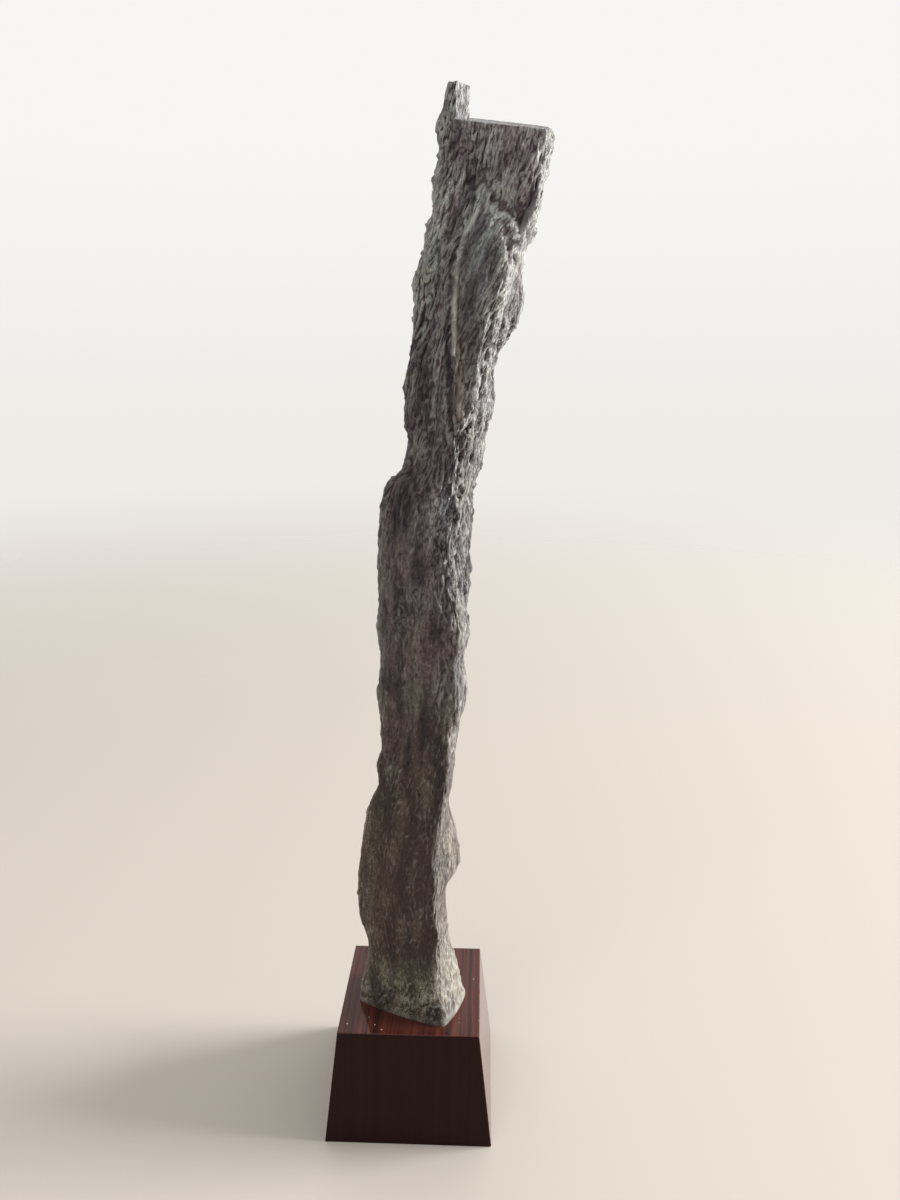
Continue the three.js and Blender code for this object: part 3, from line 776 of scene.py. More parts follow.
for name, ovals in OVALS.items():
    masks[name] = sum(share * oval(*place) for share, *place in ovals)
masks["green"] += 0.5 * rise(patchy, 0.1, 0.4) + 0.7 * zone(60, 44)
masks["violet"] += 0.6 * rise(patchy, -0.1, -0.4)
masks["ochre"] += 0.6 * rise(mottled, 0.2, 0.45) * zone(190, 215)
# painted highlight along the hood's rim
masks["pale"] += line(RIM, 1.2, 0.6)
masks["dim"] += 0.75 * rise(looks_right, 0.3, 0.7) * dark_side
masks["dim"] += line(moved_right(CREASE, 1.3), 0.8, 0.6)
# The line along the rim in the tone is a painted highlight.
masks["tone"] += 0.5 + contrast * clouds + line(RIM, 1.4, 0.2)
# The crease is painted near white: partly a paler line in the rock, partly a painted highlight.
masks["crease"] = line(CREASE, 0.42, 1.0, on=rise(stone_out[:, 1], 0.1, -0.15))
masks["crease"] *= np.clip(0.8 + 0.8 * mottled, 0, 1)
masks["rib"] = line(RIB, 1.1, 1.0) * np.clip(0.7 + 0.8 * mottled, 0, 1)
print("tone of the rock:", np.round(np.percentile(masks["tone"], [5, 50, 95]), 2))

# %% [markdown]
# Each mask becomes an attribute of the mesh. The straightened place of each point is kept too, so that the
# grain of the material runs with the grain of the shape.

# %% Keep them on the mesh
UNLIMITED = ("proud", "bulk", "tone")


def keep_values(mesh, name, values):
    """Stores a number for each point under a name that a material can read."""
    mesh.attributes.new(name, "FLOAT", "POINT").data.foreach_set("value", values.astype(np.float32))


stone.data.attributes.new("straightened", "FLOAT_VECTOR", "POINT").data.foreach_set(
    "vector", stone_grain.astype(np.float32).ravel())
for name, mask in masks.items():
    keep_values(stone.data, name, mask if name in UNLIMITED else np.clip(mask, 0, 1))
print("numbers kept at each point:", len(masks))

# %% [markdown]
# ## The rosewood block
#
# A small block like this is sawn to a truncated pyramid, sanded, and lacquered until it shines. Its edges
# are crisp but never razor sharp: a narrow rounding catches a thin line of light. The block is made anew
# from the solid's own sizes, with rounded edges in place of flat chamfers, and the seat is cut with the
# stone's outline. A narrow strip beside each edge keeps its wear from fading out over the whole face.

# %% Block
EDGE_STEPS = 4
EDGE_FADE = 0.35 * MM
EDGE_FACE = 8 * MM**2


def block_mesh(solid):
    """A truncated pyramid through the solid's widest points, with rounded edges."""
    low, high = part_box("wooden_base")
    widest = {round(v.co.z, 5): 0.0 for v in solid.verts}
    for v in solid.verts:
        widest[round(v.co.z, 5)] = max(widest[round(v.co.z, 5)], v.co.x)
    edge = sorted(widest)[1] - low.z
    top_half = widest[round(high.z - edge, 5)]
    bm = bmesh.new()
    bmesh.ops.create_cube(bm, size=1)
    for v in bm.verts:
        half, z = (high.x, low.z) if v.co.z < 0 else (top_half, high.z)
        v.co = Vector((math.copysign(half, v.co.x), math.copysign(half, v.co.y), z))
    bmesh.ops.bevel(bm, geom=bm.edges[:], offset=edge, segments=EDGE_STEPS, profile=0.5, affect="EDGES")
    broad = [face for face in bm.faces if face.calc_area() > EDGE_FACE]
    bmesh.ops.inset_individual(bm, faces=broad, thickness=EDGE_FADE)
    mesh = bpy.data.meshes.new("rosewood_block")
    bm.to_mesh(mesh)
    bm.free()
    print("block edge rounding in mm:", round(edge / MM, 2), "top half width:", round(top_half / MM, 2))
    return mesh


block = placed_object("rosewood_block", block_mesh(welded(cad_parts["wooden_base"])))

# %% [markdown]
# The seat follows the outline of the stone's lowest ring, let out by the fitting gap.

# %% Seat
SEAT_SIDE_GAP, SEAT_FLOOR_GAP, SEAT_CUT_HEIGHT = 0.3 * MM, 0.3 * MM, 20 * MM


def foot_prism(ring, floor, roof):
    """The stone's foot outline as an upright prism, for cutting the seat."""
    count = len(ring)
    points = [(x, y, z) for z in (floor, roof) for x, y, _ in ring]
    sides = [(i, (i + 1) % count, count + (i + 1) % count, count + i) for i in range(count)]
    mesh = bpy.data.meshes.new("seat")
    mesh.from_pydata(points, [], sides + [tuple(range(count))[::-1], tuple(range(count, 2 * count))])
    return placed_object("seat", mesh)


seat_outline = rings[0] + normals_of(rings)[0] * SEAT_SIDE_GAP
foot_level = float(rings[0, 0, 2])
cut_away(block, foot_prism(seat_outline, foot_level - SEAT_FLOOR_GAP, foot_level + SEAT_CUT_HEIGHT))
rounded = {corner for face in block.data.polygons if face.area < EDGE_FACE for corner in face.vertices}
on_edge = np.array([float(i in rounded) for i in range(len(block.data.vertices))])
keep_values(block.data, "edge", on_edge)
print("block:", len(block.data.polygons), "faces,", int(on_edge.sum()), "points on its edges")

# %% [markdown]
# ## Shading of the meshes
#
# Smooth shading suits the stone's fibres, but a flat sawn face must stay flat to its very edge. Marking the
# edges between the two as sharp keeps both.

# %% Smooth shading
FLAT_CORNERS = 5


def shade(mesh, sharp_angle):
    """Smooth shading on all but the faces with many corners, with sharp edges kept."""
    for face in mesh.polygons:
        face.use_smooth = len(face.vertices) < FLAT_CORNERS
    mesh.set_sharp_from_angle(angle=math.radians(sharp_angle))
    print(mesh.name, "flat faces:", sum(not face.use_smooth for face in mesh.polygons))


shade(stone.data, 75)
shade(block.data, 40)

# %% [markdown]
# ## Small tools for materials
#
# Node trees read better as code when adding a node, mixing two colours and stretching a range are one line
# each. Two kinds of layer do the work: a cover hides what is under it, as crust does, and a tint multiplies
# it, so that the texture below stays.

# %% Nodes in one line each
def connect(tree, socket, value):
    """Feeds a socket with another socket, or sets its value."""
    if isinstance(value, bpy.types.NodeSocket):
        tree.links.new(value, socket)
    else:
        socket.default_value = value


def add(tree, kind, inputs=None, **settings):
    """A new shader node, by its kind without the usual prefix, with its settings and inputs."""
    made = tree.nodes.new("ShaderNode" + kind)
    for name, value in settings.items():
        setattr(made, name, value)
    for name, value in (inputs or {}).items():
        connect(tree, made.inputs[name], value)
    return made


def maths(tree, work, first, second=0.5):
    """A sum, product or other work on one or two numbers."""
    return add(tree, "Math", {0: first, 1: second}, operation=work).outputs[0]


def span(tree, value, low, high, to_low=0.0, to_high=1.0, curve="LINEAR"):
    """Stretches low..high to to_low..to_high, and clamps."""
    ends = {"Value": value, "From Min": low, "From Max": high, "To Min": to_low, "To Max": to_high}
    return add(tree, "MapRange", ends, interpolation_type=curve).outputs[0]


def noisy(tree, place, scale, detail, roughness=0.5, output="Fac"):
    """Noise at a place."""
    look = {"Vector": place, "Scale": scale, "Detail": detail, "Roughness": roughness}
    return add(tree, "TexNoise", look).outputs[output]


def stored(tree, name):
    """A number that the mesh keeps at each point."""
    return add(tree, "Attribute", attribute_name=name).outputs["Fac"]


def cover(tree, under, mask, over, most=1.0, blend="MIX"):
    """One colour laid over another where the mask is: a socket, a number or the name of a stored one."""
    mask = stored(tree, mask) if isinstance(mask, str) else mask
    mask = maths(tree, "MULTIPLY", mask, most) if most != 1.0 else mask
    made = tree.nodes.new("ShaderNodeMix")
    made.data_type, made.blend_type, made.clamp_factor = "RGBA", blend, True
    for socket, value in ((0, mask), (6, under), (7, over)):
        connect(tree, made.inputs[socket], value)
    return made.outputs[2]


def tint(tree, under, mask, cast, most=1.0):
    """As a cover, but the two colours multiply."""
    return cover(tree, under, mask, cast, most, "MULTIPLY")


def layered(tree, under, layers):
    """A colour under its layers: each is cover or tint, a mask, a colour and perhaps a highest share."""
    for lay, *layer in layers:
        under = lay(tree, under, *layer)
    return under


def colour(red, green, blue):
    return (red, green, blue, 1.0)


def new_material(name):
    material = bpy.data.materials.new(name)
    material.use_nodes = True
    material.node_tree.nodes.clear()
    return material, material.node_tree


print("defined: connect, add, maths, span, noisy, stored, cover, tint, layered, colour, new_material")

# %% [markdown]
# ## Shared effect: stretched grain
#
# Both the schist and the rosewood have a grain: long streaks along one direction. It is one group. It takes
# how many streaks there are to a metre along each axis, and how much they lean and wander, and gives back
# two sizes of streak.

# %% Grain group
def new_group(name, inputs, outputs):
    """An empty shader group with its named sockets."""
    tree = bpy.data.node_groups.new(name, "ShaderNodeTree")
    for socket_name, value in inputs.items():
        kind = "NodeSocketFloat" if isinstance(value, float) else "NodeSocketVector"
        tree.interface.new_socket(socket_name, in_out="INPUT", socket_type=kind).default_value = value
    for socket_name in outputs:
        tree.interface.new_socket(socket_name, in_out="OUTPUT", socket_type="NodeSocketFloat")
    print("group:", name, list(inputs), "gives", outputs)
    return tree, tree.nodes.new("NodeGroupInput").outputs, tree.nodes.new("NodeGroupOutput").inputs


def use(tree, group, **inputs):
    """Places a group in a material with its own values."""
    named = {name.replace("_", " "): value for name, value in inputs.items()}
    return add(tree, "Group", named, node_tree=group).outputs


def vector_maths(tree, work, first, second=(0.0, 0.0, 0.0), scale=1.0):
    """The outputs of work on one or two vectors."""
    return add(tree, "VectorMath", {0: first, 1: second, 3: scale}, operation=work).outputs


def make_grain_group():
    tree, given, gives = new_group("grain", {
        "Place": (0.0, 0.0, 0.0), "Streaks per Metre": (900.0, 900.0, 160.0), "Lean": 0.0, "Wander": 0.0008,
    }, ["Streaks", "Fine"])
    parts = add(tree, "SeparateXYZ", {0: given["Place"]}).outputs
    upright = maths(tree, "SUBTRACT", parts[0], maths(tree, "MULTIPLY", parts[2], given["Lean"]))
    level = add(tree, "CombineXYZ", {0: upright, 1: parts[1], 2: parts[2]}).outputs[0]
    drift = vector_maths(tree, "SUBTRACT", noisy(tree, level, 260.0, 2.0, output="Color"), (0.5, 0.5, 0.5))[0]
    drift = vector_maths(tree, "SCALE", drift, scale=given["Wander"])[0]
    moved = vector_maths(tree, "ADD", level, drift)[0]
    squeezed = vector_maths(tree, "MULTIPLY", moved, given["Streaks per Metre"])[0]
    for output, scale, detail in (("Streaks", 1.0, 4.0), ("Fine", 2.3, 3.0)):
        tree.links.new(noisy(tree, squeezed, scale, detail, roughness=0.7), gives[output])
    return tree


grain_group = make_grain_group()

# %% [markdown]
# ## Shared effect: wear, grime and painted light
#
# On the stone, whatever stands proud is painted lighter and whatever lies low darker: partly wear and dirt,
# partly a painted highlight on the crests and painted shade in the hollows. On the block only the first mask
# is used, as wear on the edges. The group turns the stored height of a point into those two masks and breaks
# them up with a little noise, so that no edge is worn evenly.

# %% Wear and painted light group
def make_wear_and_light_group():
    tree, given, gives = new_group("wear_and_light", {"Proud": 0.0, "Break Up": 0.3}, ["Worn", "Grimy And Shaded"])
    uneven = noisy(tree, add(tree, "TexCoord").outputs["Object"], 900.0, 3.0)
    uneven = maths(tree, "MULTIPLY", maths(tree, "SUBTRACT", uneven, 0.5), given["Break Up"])
    height = maths(tree, "ADD", given["Proud"], uneven)
    tree.links.new(span(tree, height, 0.1, 0.9), gives["Worn"])
    tree.links.new(span(tree, height, -0.05, -0.8), gives["Grimy And Shaded"])
    return tree


wear_and_light_group = make_wear_and_light_group()

# %% [markdown]
# ## Shared effect: dust
#
# A few bright specks of dust lie on the block and in the stone's ledges. They only lie where the surface
# looks up, so the group multiplies a sprinkle of tiny cells by how far the surface faces the sky.

# %% Dust group
def make_dust_group():
    tree, given, gives = new_group("dust", {"Specks per Metre": 500.0, "Share": 0.04}, ["Specks", "Film"])
    place = add(tree, "TexCoord").outputs["Object"]
    cells = add(tree, "TexVoronoi", {"Vector": place, "Scale": given["Specks per Metre"]}).outputs
    own_number = add(tree, "SeparateColor", {0: cells["Color"]}).outputs[0]
    chosen = maths(tree, "LESS_THAN", own_number, given["Share"])
    small = span(tree, cells["Distance"], 0.13, 0.06)
    facing = add(tree, "SeparateXYZ", {0: add(tree, "NewGeometry").outputs["Normal"]})
    up = span(tree, facing.outputs[2], 0.2, 0.9)
    specks = maths(tree, "MULTIPLY", maths(tree, "MULTIPLY", chosen, small), up)
    film = span(tree, noisy(tree, place, 120.0, 4.0), 0.4, 0.75)
    tree.links.new(specks, gives["Specks"])
    tree.links.new(maths(tree, "MULTIPLY", film, up), gives["Film"])
    return tree


dust_group = make_dust_group()

# %% [markdown]
# ## Schist: its grain
#
# Seen close, the rock is a weave of dark grey, brown and violet fibres with a greenish cast. Two grains
# that lean opposite ways are woven, as in real schist, by keeping the brighter one at each point. A third,
# much longer grain gives the thin pale threads and the dark gaps between them.

# %% Schist grain
FIRST_GRAIN = {"Streaks_per_Metre": (1050.0, 1050.0, 330.0), "Lean": 0.10, "Wander": 0.0012}
SECOND_GRAIN = {"Streaks_per_Metre": (1350.0, 1350.0, 520.0), "Lean": -0.10, "Wander": 0.0014}
THIN_GRAIN = {"Streaks_per_Metre": (900.0, 900.0, 95.0), "Lean": 0.04, "Wander": 0.0010}


def schist_grain(tree):
    """Masks and values of the grain, by name."""
    along = add(tree, "Attribute", attribute_name="straightened").outputs["Vector"]
    first, second, thin = (
        use(tree, grain_group, Place=along, **grain) for grain in (FIRST_GRAIN, SECOND_GRAIN, THIN_GRAIN))
    brighter = maths(tree, "MAXIMUM", first["Streaks"], second["Streaks"])
    fine = maths(tree, "MULTIPLY", maths(tree, "ADD", first["Fine"], second["Fine"]), 0.5)
    tone = maths(tree, "ADD", maths(tree, "MULTIPLY", brighter, 0.6), maths(tree, "MULTIPLY", fine, 0.4))
    return {
        "fine": fine,
        "tone": tone,
        "threads": span(tree, thin["Fine"], 0.53, 0.66),
        "gaps": span(tree, thin["Fine"], 0.44, 0.32),
        "ochre threads": span(tree, first["Fine"], 0.46, 0.58),
    }


print("long threads to a metre:", THIN_GRAIN["Streaks_per_Metre"])

# %% [markdown]
# ## Schist: its colours
#
# The rock is dull but not dead: the mica in it gives a faint sheen. The crust at the foot and on the flakes
# is a pale grey-green, and the head is much paler than the brown body, partly weathering and partly painted
# light that grows towards the top. The colours are layered in this order: rock, tints, threads, the painted
# highlight on the right side, crust, and last the painted shade in the hollows and the painted highlight on
# the rubbed backs, partly grime and wear.

# %% Colours of the rock
DARK_ROCK, LIGHT_ROCK = colour(0.029, 0.020, 0.023), colour(0.112, 0.099, 0.098)
SMOOTH_DARK, SMOOTH_LIGHT = colour(0.035, 0.0245, 0.0265), colour(0.102, 0.079, 0.081)
SHADED, LIT = colour(0.45, 0.40, 0.42), colour(1.7, 1.68, 1.65)
# The head's tint is partly weathering, partly painted light that grows towards the top.
WEATHERED_AND_LIT, LOW_BROWN = colour(4.1, 5.0, 4.85), colour(0.62, 0.44, 0.36)
LOW_ROCK = colour(0.035, 0.0185, 0.0125)
CASTS = {
    "violet": colour(0.80, 0.62, 0.71), "green": colour(1.0, 1.18, 1.12),
    "slate": colour(0.72, 0.81, 0.92), "dim": colour(0.42, 0.385, 0.385),
}
THREAD, OCHRE_THREAD, GAP = colour(2.1, 2.1, 2.15), colour(2.2, 1.98, 1.62), colour(0.55, 0.50, 0.52)


def lit_or_shaded(tree, low, high):
    """A cast that darkens where the stored tone is low and lightens where it is high."""
    return cover(tree, SHADED, span(tree, stored(tree, "tone"), low, high), LIT)


def bare_rock(tree, grain):
    """Dark, torn rock and softer, worn rock, with their tints, threads and gaps."""
    torn = cover(tree, DARK_ROCK, span(tree, grain["tone"], 0.46, 0.60), LIGHT_ROCK)
    worn = cover(tree, SMOOTH_DARK, span(tree, grain["tone"], 0.41, 0.65), SMOOTH_LIGHT)
    share = span(tree, stored(tree, "weathered"), 0.0, 1.0, 0.6, 0.75)
    thread = cover(tree, THREAD, grain["ochre threads"], OCHRE_THREAD)
    return layered(tree, worn, [
        (cover, "torn", torn),
        (tint, "weathered", WEATHERED_AND_LIT),
        (tint, "low", LOW_BROWN),
        (cover, "low", LOW_ROCK, 0.7),
        (tint, 1.0, lit_or_shaded(tree, 0.1, 0.9)),
        *((tint, mask, cast) for mask, cast in CASTS.items()),
        (tint, grain["threads"], thread, share),
        (tint, grain["gaps"], GAP, share),
    ])


print("tints of the rock:", list(CASTS))

# %% [markdown]
# The right side is painted lighter along its whole height, a painted highlight where the light falls, and its
# rock has a pattern of its own. The crust is granular: its two colours follow fine grains more than the
# fibres, and it is painted paler on the right side too.

# %% Colours of the side, the crust and the marks
# Painted highlight: the right side's rock colours, lighter than the front's, stand in for the light on it.
PAINTED_SIDE_DARK, PAINTED_SIDE_LIGHT = colour(0.028, 0.026, 0.025), colour(0.33, 0.335, 0.32)
LOW_PAINTED_SIDE, HIGH_PAINTED_SIDE = colour(0.75, 0.66, 0.58), colour(0.95, 1.0, 0.985)
CRUST_DARK, CRUST_LIGHT = colour(0.029, 0.0235, 0.0135), colour(0.218, 0.194, 0.132)
# Painted highlight on the right side of the crust.
PAINTED_LIT_CRUST = colour(0.178, 0.178, 0.142)
# The left border's colour is a painted rim light; the sawn face is smoother, paler rock.
PAINTED_LEFT_RIM, SAWN_ROCK = colour(0.13, 0.115, 0.098), colour(0.17, 0.165, 0.175)
OCHRE_ROCK, PALE_ROCK = colour(0.27, 0.22, 0.14), colour(0.40, 0.42, 0.42)
# The crease and crest colours are partly paler rock and wear, partly a painted highlight.
PALE_LIT_CREASE, CREST_WEAR_AND_HIGHLIGHT = colour(0.75, 0.76, 0.72), colour(0.39, 0.375, 0.36)
# Painted shade in the hollows, partly grime.
HOLLOW_GRIME_AND_SHADE, STONE_DUST = colour(0.34, 0.24, 0.28), colour(0.6, 0.6, 0.58)


def painted_lit_side(tree, grain):
    """The right side's rock, painted lighter: a painted highlight."""
    side = cover(tree, PAINTED_SIDE_DARK, span(tree, grain["tone"], 0.48, 0.57), PAINTED_SIDE_LIGHT)
    return layered(tree, side, [
        (tint, "low", LOW_PAINTED_SIDE), (tint, "weathered", HIGH_PAINTED_SIDE), (tint, grain["gaps"], GAP)])


def crust_colour(tree, grain, place):
    """The granular crust, calmer and greener on the right side, and paler there as a painted highlight."""
    grains = maths(tree, "ADD", noisy(tree, place, 2600.0, 3.0), grain["fine"])
    blotches = maths(tree, "MULTIPLY", grains, 0.5)
    crust = cover(tree, CRUST_DARK, span(tree, blotches, 0.43, 0.57), CRUST_LIGHT)
    crust = cover(tree, crust, "flank", PAINTED_LIT_CRUST, 0.45)
    return tint(tree, crust, 1.0, lit_or_shaded(tree, 0.2, 0.8))


print("colour of the crust:", CRUST_DARK[:3], "to", CRUST_LIGHT[:3])

# %% [markdown]
# Wear, grime and dust come last. The wear and grime are partly a painted highlight on the crests and painted
# shade in the hollows. The streaks also feed a fine bump, which is weaker where the rock is worn smooth.

# %% Schist material
A_LITTLE_PALE = 0.04


def make_schist():
    material, tree = new_material("schist")
    grain = schist_grain(tree)
    place = add(tree, "TexCoord").outputs["Object"]
    grit = noisy(tree, place, 1500.0, 4.0)
    wear_and_light = use(tree, wear_and_light_group, Proud=stored(tree, "proud"), Break_Up=0.6)
    bulk = use(tree, wear_and_light_group, Proud=stored(tree, "bulk"), Break_Up=0.3)
    dust = use(tree, dust_group, Specks_per_Metre=420.0, Share=0.03)
    crust = crust_colour(tree, grain, place)
    tone, fine, pale = grain["tone"], grain["fine"], maths(tree, "ADD", stored(tree, "pale"), A_LITTLE_PALE)
    rock = layered(tree, bare_rock(tree, grain), [
        # painted highlight on the right flank
        (cover, "flank", painted_lit_side(tree, grain), 0.75),
        # painted rim light on the left border
        (cover, "border", PAINTED_LEFT_RIM, 0.5),
        (cover, "pitted", DARK_ROCK, span(tree, tone, 0.51, 0.46)),
        (cover, "ochre", OCHRE_ROCK, span(tree, fine, 0.48, 0.62)),
        (cover, pale, PALE_ROCK, span(tree, tone, 0.49, 0.62)),
        (cover, "crust", crust, 0.8),
        (cover, "lobe", crust, 0.35),
        (cover, "rib", OCHRE_ROCK, 0.7),
        # painted shade in the hollows, partly grime
        (tint, wear_and_light["Grimy And Shaded"], HOLLOW_GRIME_AND_SHADE, 0.8),
        (tint, bulk["Grimy And Shaded"], HOLLOW_GRIME_AND_SHADE, 0.3),
        # painted highlight on the crests, partly wear
        (cover, wear_and_light["Worn"], CREST_WEAR_AND_HIGHLIGHT, 0.38),
        # the crease, partly a painted highlight
        (cover, "crease", PALE_LIT_CREASE, 0.8),
    ])
    rock = cover(tree, rock, "sawn", cover(tree, SAWN_ROCK, span(tree, grit, 0.3, 0.7), rock))
    rock = cover(tree, rock, dust["Specks"], STONE_DUST, 0.6)
    height = maths(tree, "ADD", tone, maths(tree, "MULTIPLY", grit, 0.25))
    height = maths(tree, "MULTIPLY", height, span(tree, stored(tree, "torn"), 0.0, 1.0, 0.25, 1.0))
    bump = add(tree, "Bump", {"Height": height, "Strength": 1.0, "Distance": 1.3 * MM})
    surface = add(tree, "BsdfPrincipled", {
        "Base Color": rock, "Roughness": span(tree, tone, 0.3, 0.7, 0.8, 0.6),
        "Normal": bump.outputs[0], "Specular IOR Level": 0.45, "Sheen Weight": 0.12, "Sheen Roughness": 0.4})
    add(tree, "OutputMaterial", {"Surface": surface.outputs[0]})
    return material


stone.data.materials.clear()
stone.data.materials.append(make_schist())
print("schist nodes:", len(stone.data.materials[0].node_tree.nodes))

# %% [markdown]
# ## Rosewood
#
# The stripes of rosewood are growth rings seen from the side, so they are made as thin shells round a line
# far to the left of the block. On the top they run from front to back. The front and the back, which look
# along the trunk, are covered almost wholly with one very dark colour: partly the darker end grain, partly
# painted shade on the front face. Pores are short dark dashes along the grain. Over it lies a thick clear
# lacquer, which is the coat of the shader: smooth, though the wood under it is not.

# %% Rosewood material
PITH, ALONG_THE_TRUNK = (-0.30, 0.0, 0.02), (1.0, 0.03, 1.0)
RINGS_PER_METRE, RING_SWAY = 420.0, 2.5 * MM
PORES_PER_METRE = (2600.0, 150.0, 2600.0)
DARK_WOOD, RED_WOOD = colour(0.012, 0.0042, 0.0038), colour(0.118, 0.027, 0.017)
# The end-grain colour is the darker end grain and in part painted shade on the front face.
BROWN_WOOD, END_GRAIN_AND_SHADE = colour(0.040, 0.0115, 0.008), colour(0.013, 0.002, 0.0016)
RUBBED_WOOD, WOOD_DUST = colour(0.10, 0.035, 0.025), colour(0.55, 0.5, 0.46)


def make_rosewood():
    material, tree = new_material("rosewood")
    place = add(tree, "TexCoord").outputs["Object"]
    across = vector_maths(tree, "SUBTRACT", place, PITH)[0]
    across = vector_maths(tree, "MULTIPLY", across, ALONG_THE_TRUNK)[0]
    radius = vector_maths(tree, "LENGTH", across)["Value"]
    radius = maths(tree, "ADD", radius, maths(tree, "MULTIPLY", noisy(tree, place, 28.0, 2.0), RING_SWAY))
    ring_number = maths(tree, "MULTIPLY", radius, RINGS_PER_METRE)
    bands = noisy(tree, add(tree, "CombineXYZ", {0: ring_number}).outputs[0], 1.0, 3.0, 0.65)
    streaks = use(tree, grain_group, Place=place, Streaks_per_Metre=PORES_PER_METRE, Wander=0.0004)
    dust = use(tree, dust_group, Specks_per_Metre=480.0, Share=0.22)
    wear_and_light = use(tree, wear_and_light_group, Proud=stored(tree, "edge"), Break_Up=0.8)
    facing = add(tree, "SeparateXYZ", {0: add(tree, "NewGeometry").outputs["Normal"]})
    end_on = span(tree, maths(tree, "ABSOLUTE", facing.outputs[1]), 0.5, 0.9)
    wood = layered(tree, cover(tree, DARK_WOOD, span(tree, bands, 0.44, 0.58), RED_WOOD), [
        (cover, span(tree, streaks["Streaks"], 0.35, 0.7, 0.0, 0.6), BROWN_WOOD),
        (cover, span(tree, streaks["Fine"], 0.60, 0.68), DARK_WOOD, 0.8),
        (cover, wear_and_light["Worn"], RUBBED_WOOD, 0.3),
        # end grain, partly painted shade on the front face
        (cover, end_on, END_GRAIN_AND_SHADE, 0.965),
        (cover, dust["Specks"], WOOD_DUST),
    ])
    bump = add(tree, "Bump", {"Height": streaks["Fine"], "Strength": 0.25, "Distance": 0.05 * MM})
    surface = add(tree, "BsdfPrincipled", {
        "Base Color": wood, "Roughness": span(tree, dust["Film"], 0.0, 1.0, 0.34, 0.5),
        "Normal": bump.outputs[0], "Specular IOR Level": 0.05,
        "Coat Weight": span(tree, end_on, 0.0, 1.0, 0.85, 0.45), "Coat Roughness": 0.06, "Coat IOR": 1.3})
    add(tree, "OutputMaterial", {"Surface": surface.outputs[0]})
    return material


block.data.materials.clear()
block.data.materials.append(make_rosewood())
print("rosewood nodes:", len(block.data.materials[0].node_tree.nodes))

# %% [markdown]
# ## Stage: the floor
#
# The stone stands on a large pale floor. It fades out into the background, so that no horizon shows.

# %% Floor
FLOOR_RADIUS = 1.6
FLOOR_CLEAR = 0.2
FLOOR_COLOUR = colour(0.50, 0.455, 0.405)


def make_floor():
    bm = bmesh.new()
    bmesh.ops.create_circle(bm, cap_ends=True, segments=96, radius=FLOOR_RADIUS)
    mesh = bpy.data.meshes.new("floor")
    bm.to_mesh(mesh)
    bm.free()
    floor = placed_object("floor", mesh)
    material, tree = new_material("pale_floor")
    away = vector_maths(tree, "LENGTH", add(tree, "TexCoord").outputs["Object"])["Value"]
    surface = add(tree, "BsdfPrincipled", {"Base Color": FLOOR_COLOUR, "Roughness": 0.7})
    fade = add(tree, "MixShader", {
        0: span(tree, away, FLOOR_CLEAR, 0.9 * FLOOR_RADIUS, curve="SMOOTHSTEP"),
        1: surface.outputs[0], 2: add(tree, "BsdfTransparent").outputs[0]})
    add(tree, "OutputMaterial", {"Surface": fade.outputs[0]})
    mesh.materials.append(material)
    floor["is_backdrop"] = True


make_floor()
print("floor radius:", FLOOR_RADIUS, "m, clear from", FLOOR_CLEAR, "m on")

# %% [markdown]
# ## Stage: the light
#
# The light comes from the right and from behind, so the front of the stone is in soft shade and its right
# side gleams. The sky of the scene is a soft glow that is strongest behind the stone, one large lamp gives
# the shadow its direction, and a weak one in front opens the shade. The camera sees a plain pale backdrop
# in place of the sky.

# %% World and lamps
BACKDROP, HORIZON = colour(0.93, 0.915, 0.895), colour(0.86, 0.835, 0.80)
DAYLIGHT = colour(1.0, 0.985, 0.965)
BRIGHT_SIDE = Vector((0.3, 0.92, 0.2)).normalized()
MAIN, MAIN_AWAY, MAIN_SIZE, MAIN_WATTS = Vector((0.95, 0.12, 0.2)).normalized(), 2.6, 1.3, 200.0
FILL, FILL_AWAY, FILL_SIZE, FILL_WATTS = Vector((-0.25, -0.75, 0.6)).normalized(), 1.5, 1.2, 8.0
LAMPS_AIM = Vector((0.0, 0.0, 0.15))


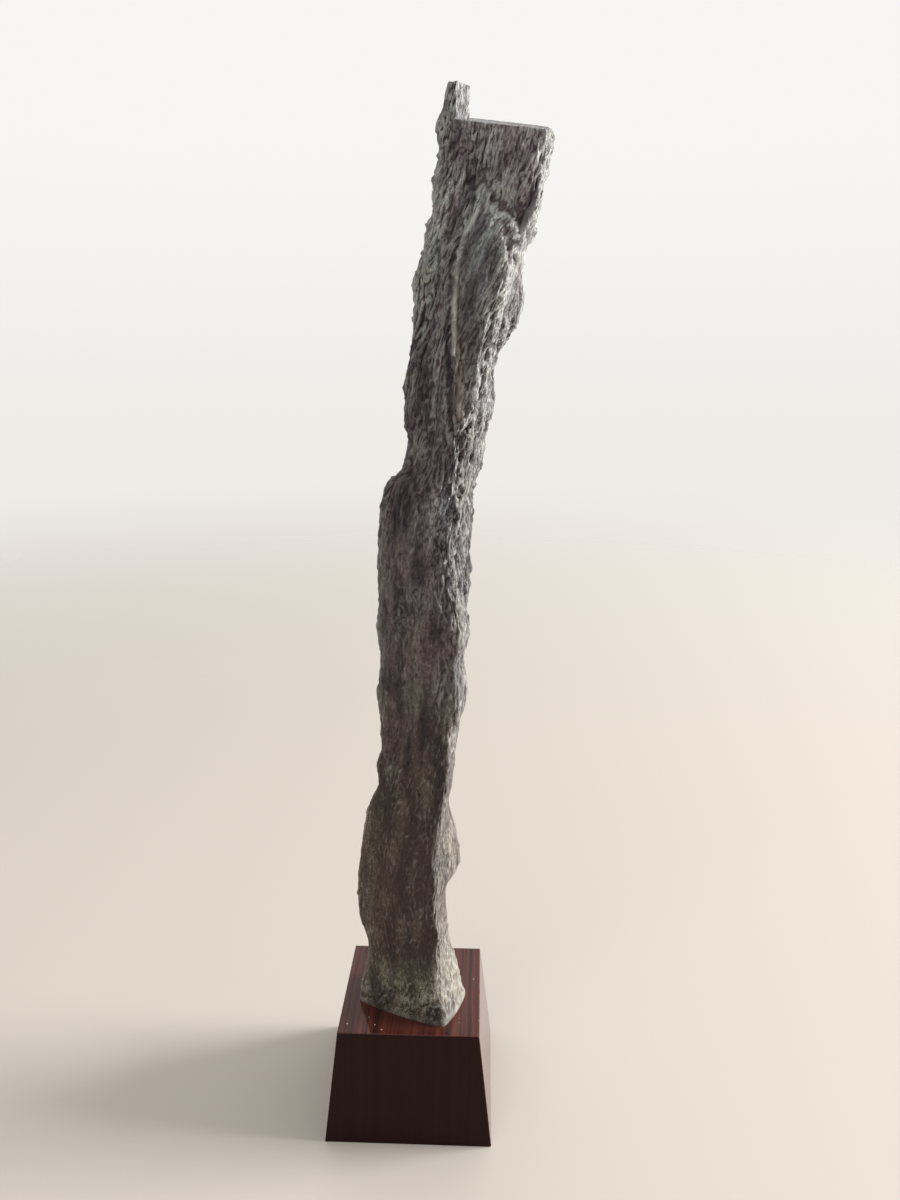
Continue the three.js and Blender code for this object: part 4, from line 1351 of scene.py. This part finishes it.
def make_world():
    world = bpy.data.worlds.new("studio")
    scene.world = world
    world.use_nodes = True
    tree = world.node_tree
    tree.nodes.clear()
    looking = add(tree, "TexCoord").outputs["Generated"]
    toward = vector_maths(tree, "DOT_PRODUCT", looking, BRIGHT_SIDE[:])["Value"]
    glow = span(tree, toward, -0.5, 0.95, 0.13, 1.3)
    upward = add(tree, "SeparateXYZ", {0: looking}).outputs[2]
    sweep = cover(tree, HORIZON, span(tree, upward, -0.12, 0.2, curve="SMOOTHSTEP"), BACKDROP)
    seen = add(tree, "Background", {"Color": sweep, "Strength": 1.0})
    lit = add(tree, "Background", {"Color": DAYLIGHT, "Strength": glow})
    is_seen = add(tree, "LightPath").outputs["Is Camera Ray"]
    both = add(tree, "MixShader", {0: is_seen, 1: lit.outputs[0], 2: seen.outputs[0]})
    add(tree, "OutputWorld", {"Surface": both.outputs[0]})


def make_lamp(name, direction, away, size, watts, light):
    data = bpy.data.lights.new(name, "AREA")
    data.shape, data.size, data.energy, data.color = "DISK", size, watts, light
    lamp = bpy.data.objects.new(name, data)
    lamp.location = LAMPS_AIM + direction * away
    lamp.rotation_euler = (LAMPS_AIM - lamp.location).to_track_quat("-Z", "Y").to_euler()
    lamp.visible_camera = False
    scene.collection.objects.link(lamp)


make_world()
make_lamp("main_light", MAIN, MAIN_AWAY, MAIN_SIZE, MAIN_WATTS, (1.0, 0.99, 0.975))
make_lamp("fill_light", FILL, FILL_AWAY, FILL_SIZE, FILL_WATTS, (1.0, 0.98, 0.96))
scene.view_settings.view_transform = "Standard"
print("main light comes from:", [round(c, 2) for c in MAIN])

# %% [markdown]
# ## On the body
#
# Both pieces stand for their solids and ride on the one body of the object. The two boxes are compared, and
# how far the finish has grown past the solids is printed.

# %% Ride and replace
BODY = "root"
for piece, node, slot in ((stone, "stone", "schist"), (block, "wooden_base", "rosewood")):
    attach(piece, BODY)
    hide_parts(node)
    print(piece.name, "triangles:", sum(len(face.vertices) - 2 for face in piece.data.polygons))

visual_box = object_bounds()
grown = [[round((a - b) / MM, 2) for a, b in zip(p, q)] for p, q in zip(visual_box, cad_box)]
print("grown by, in mm:", grown)
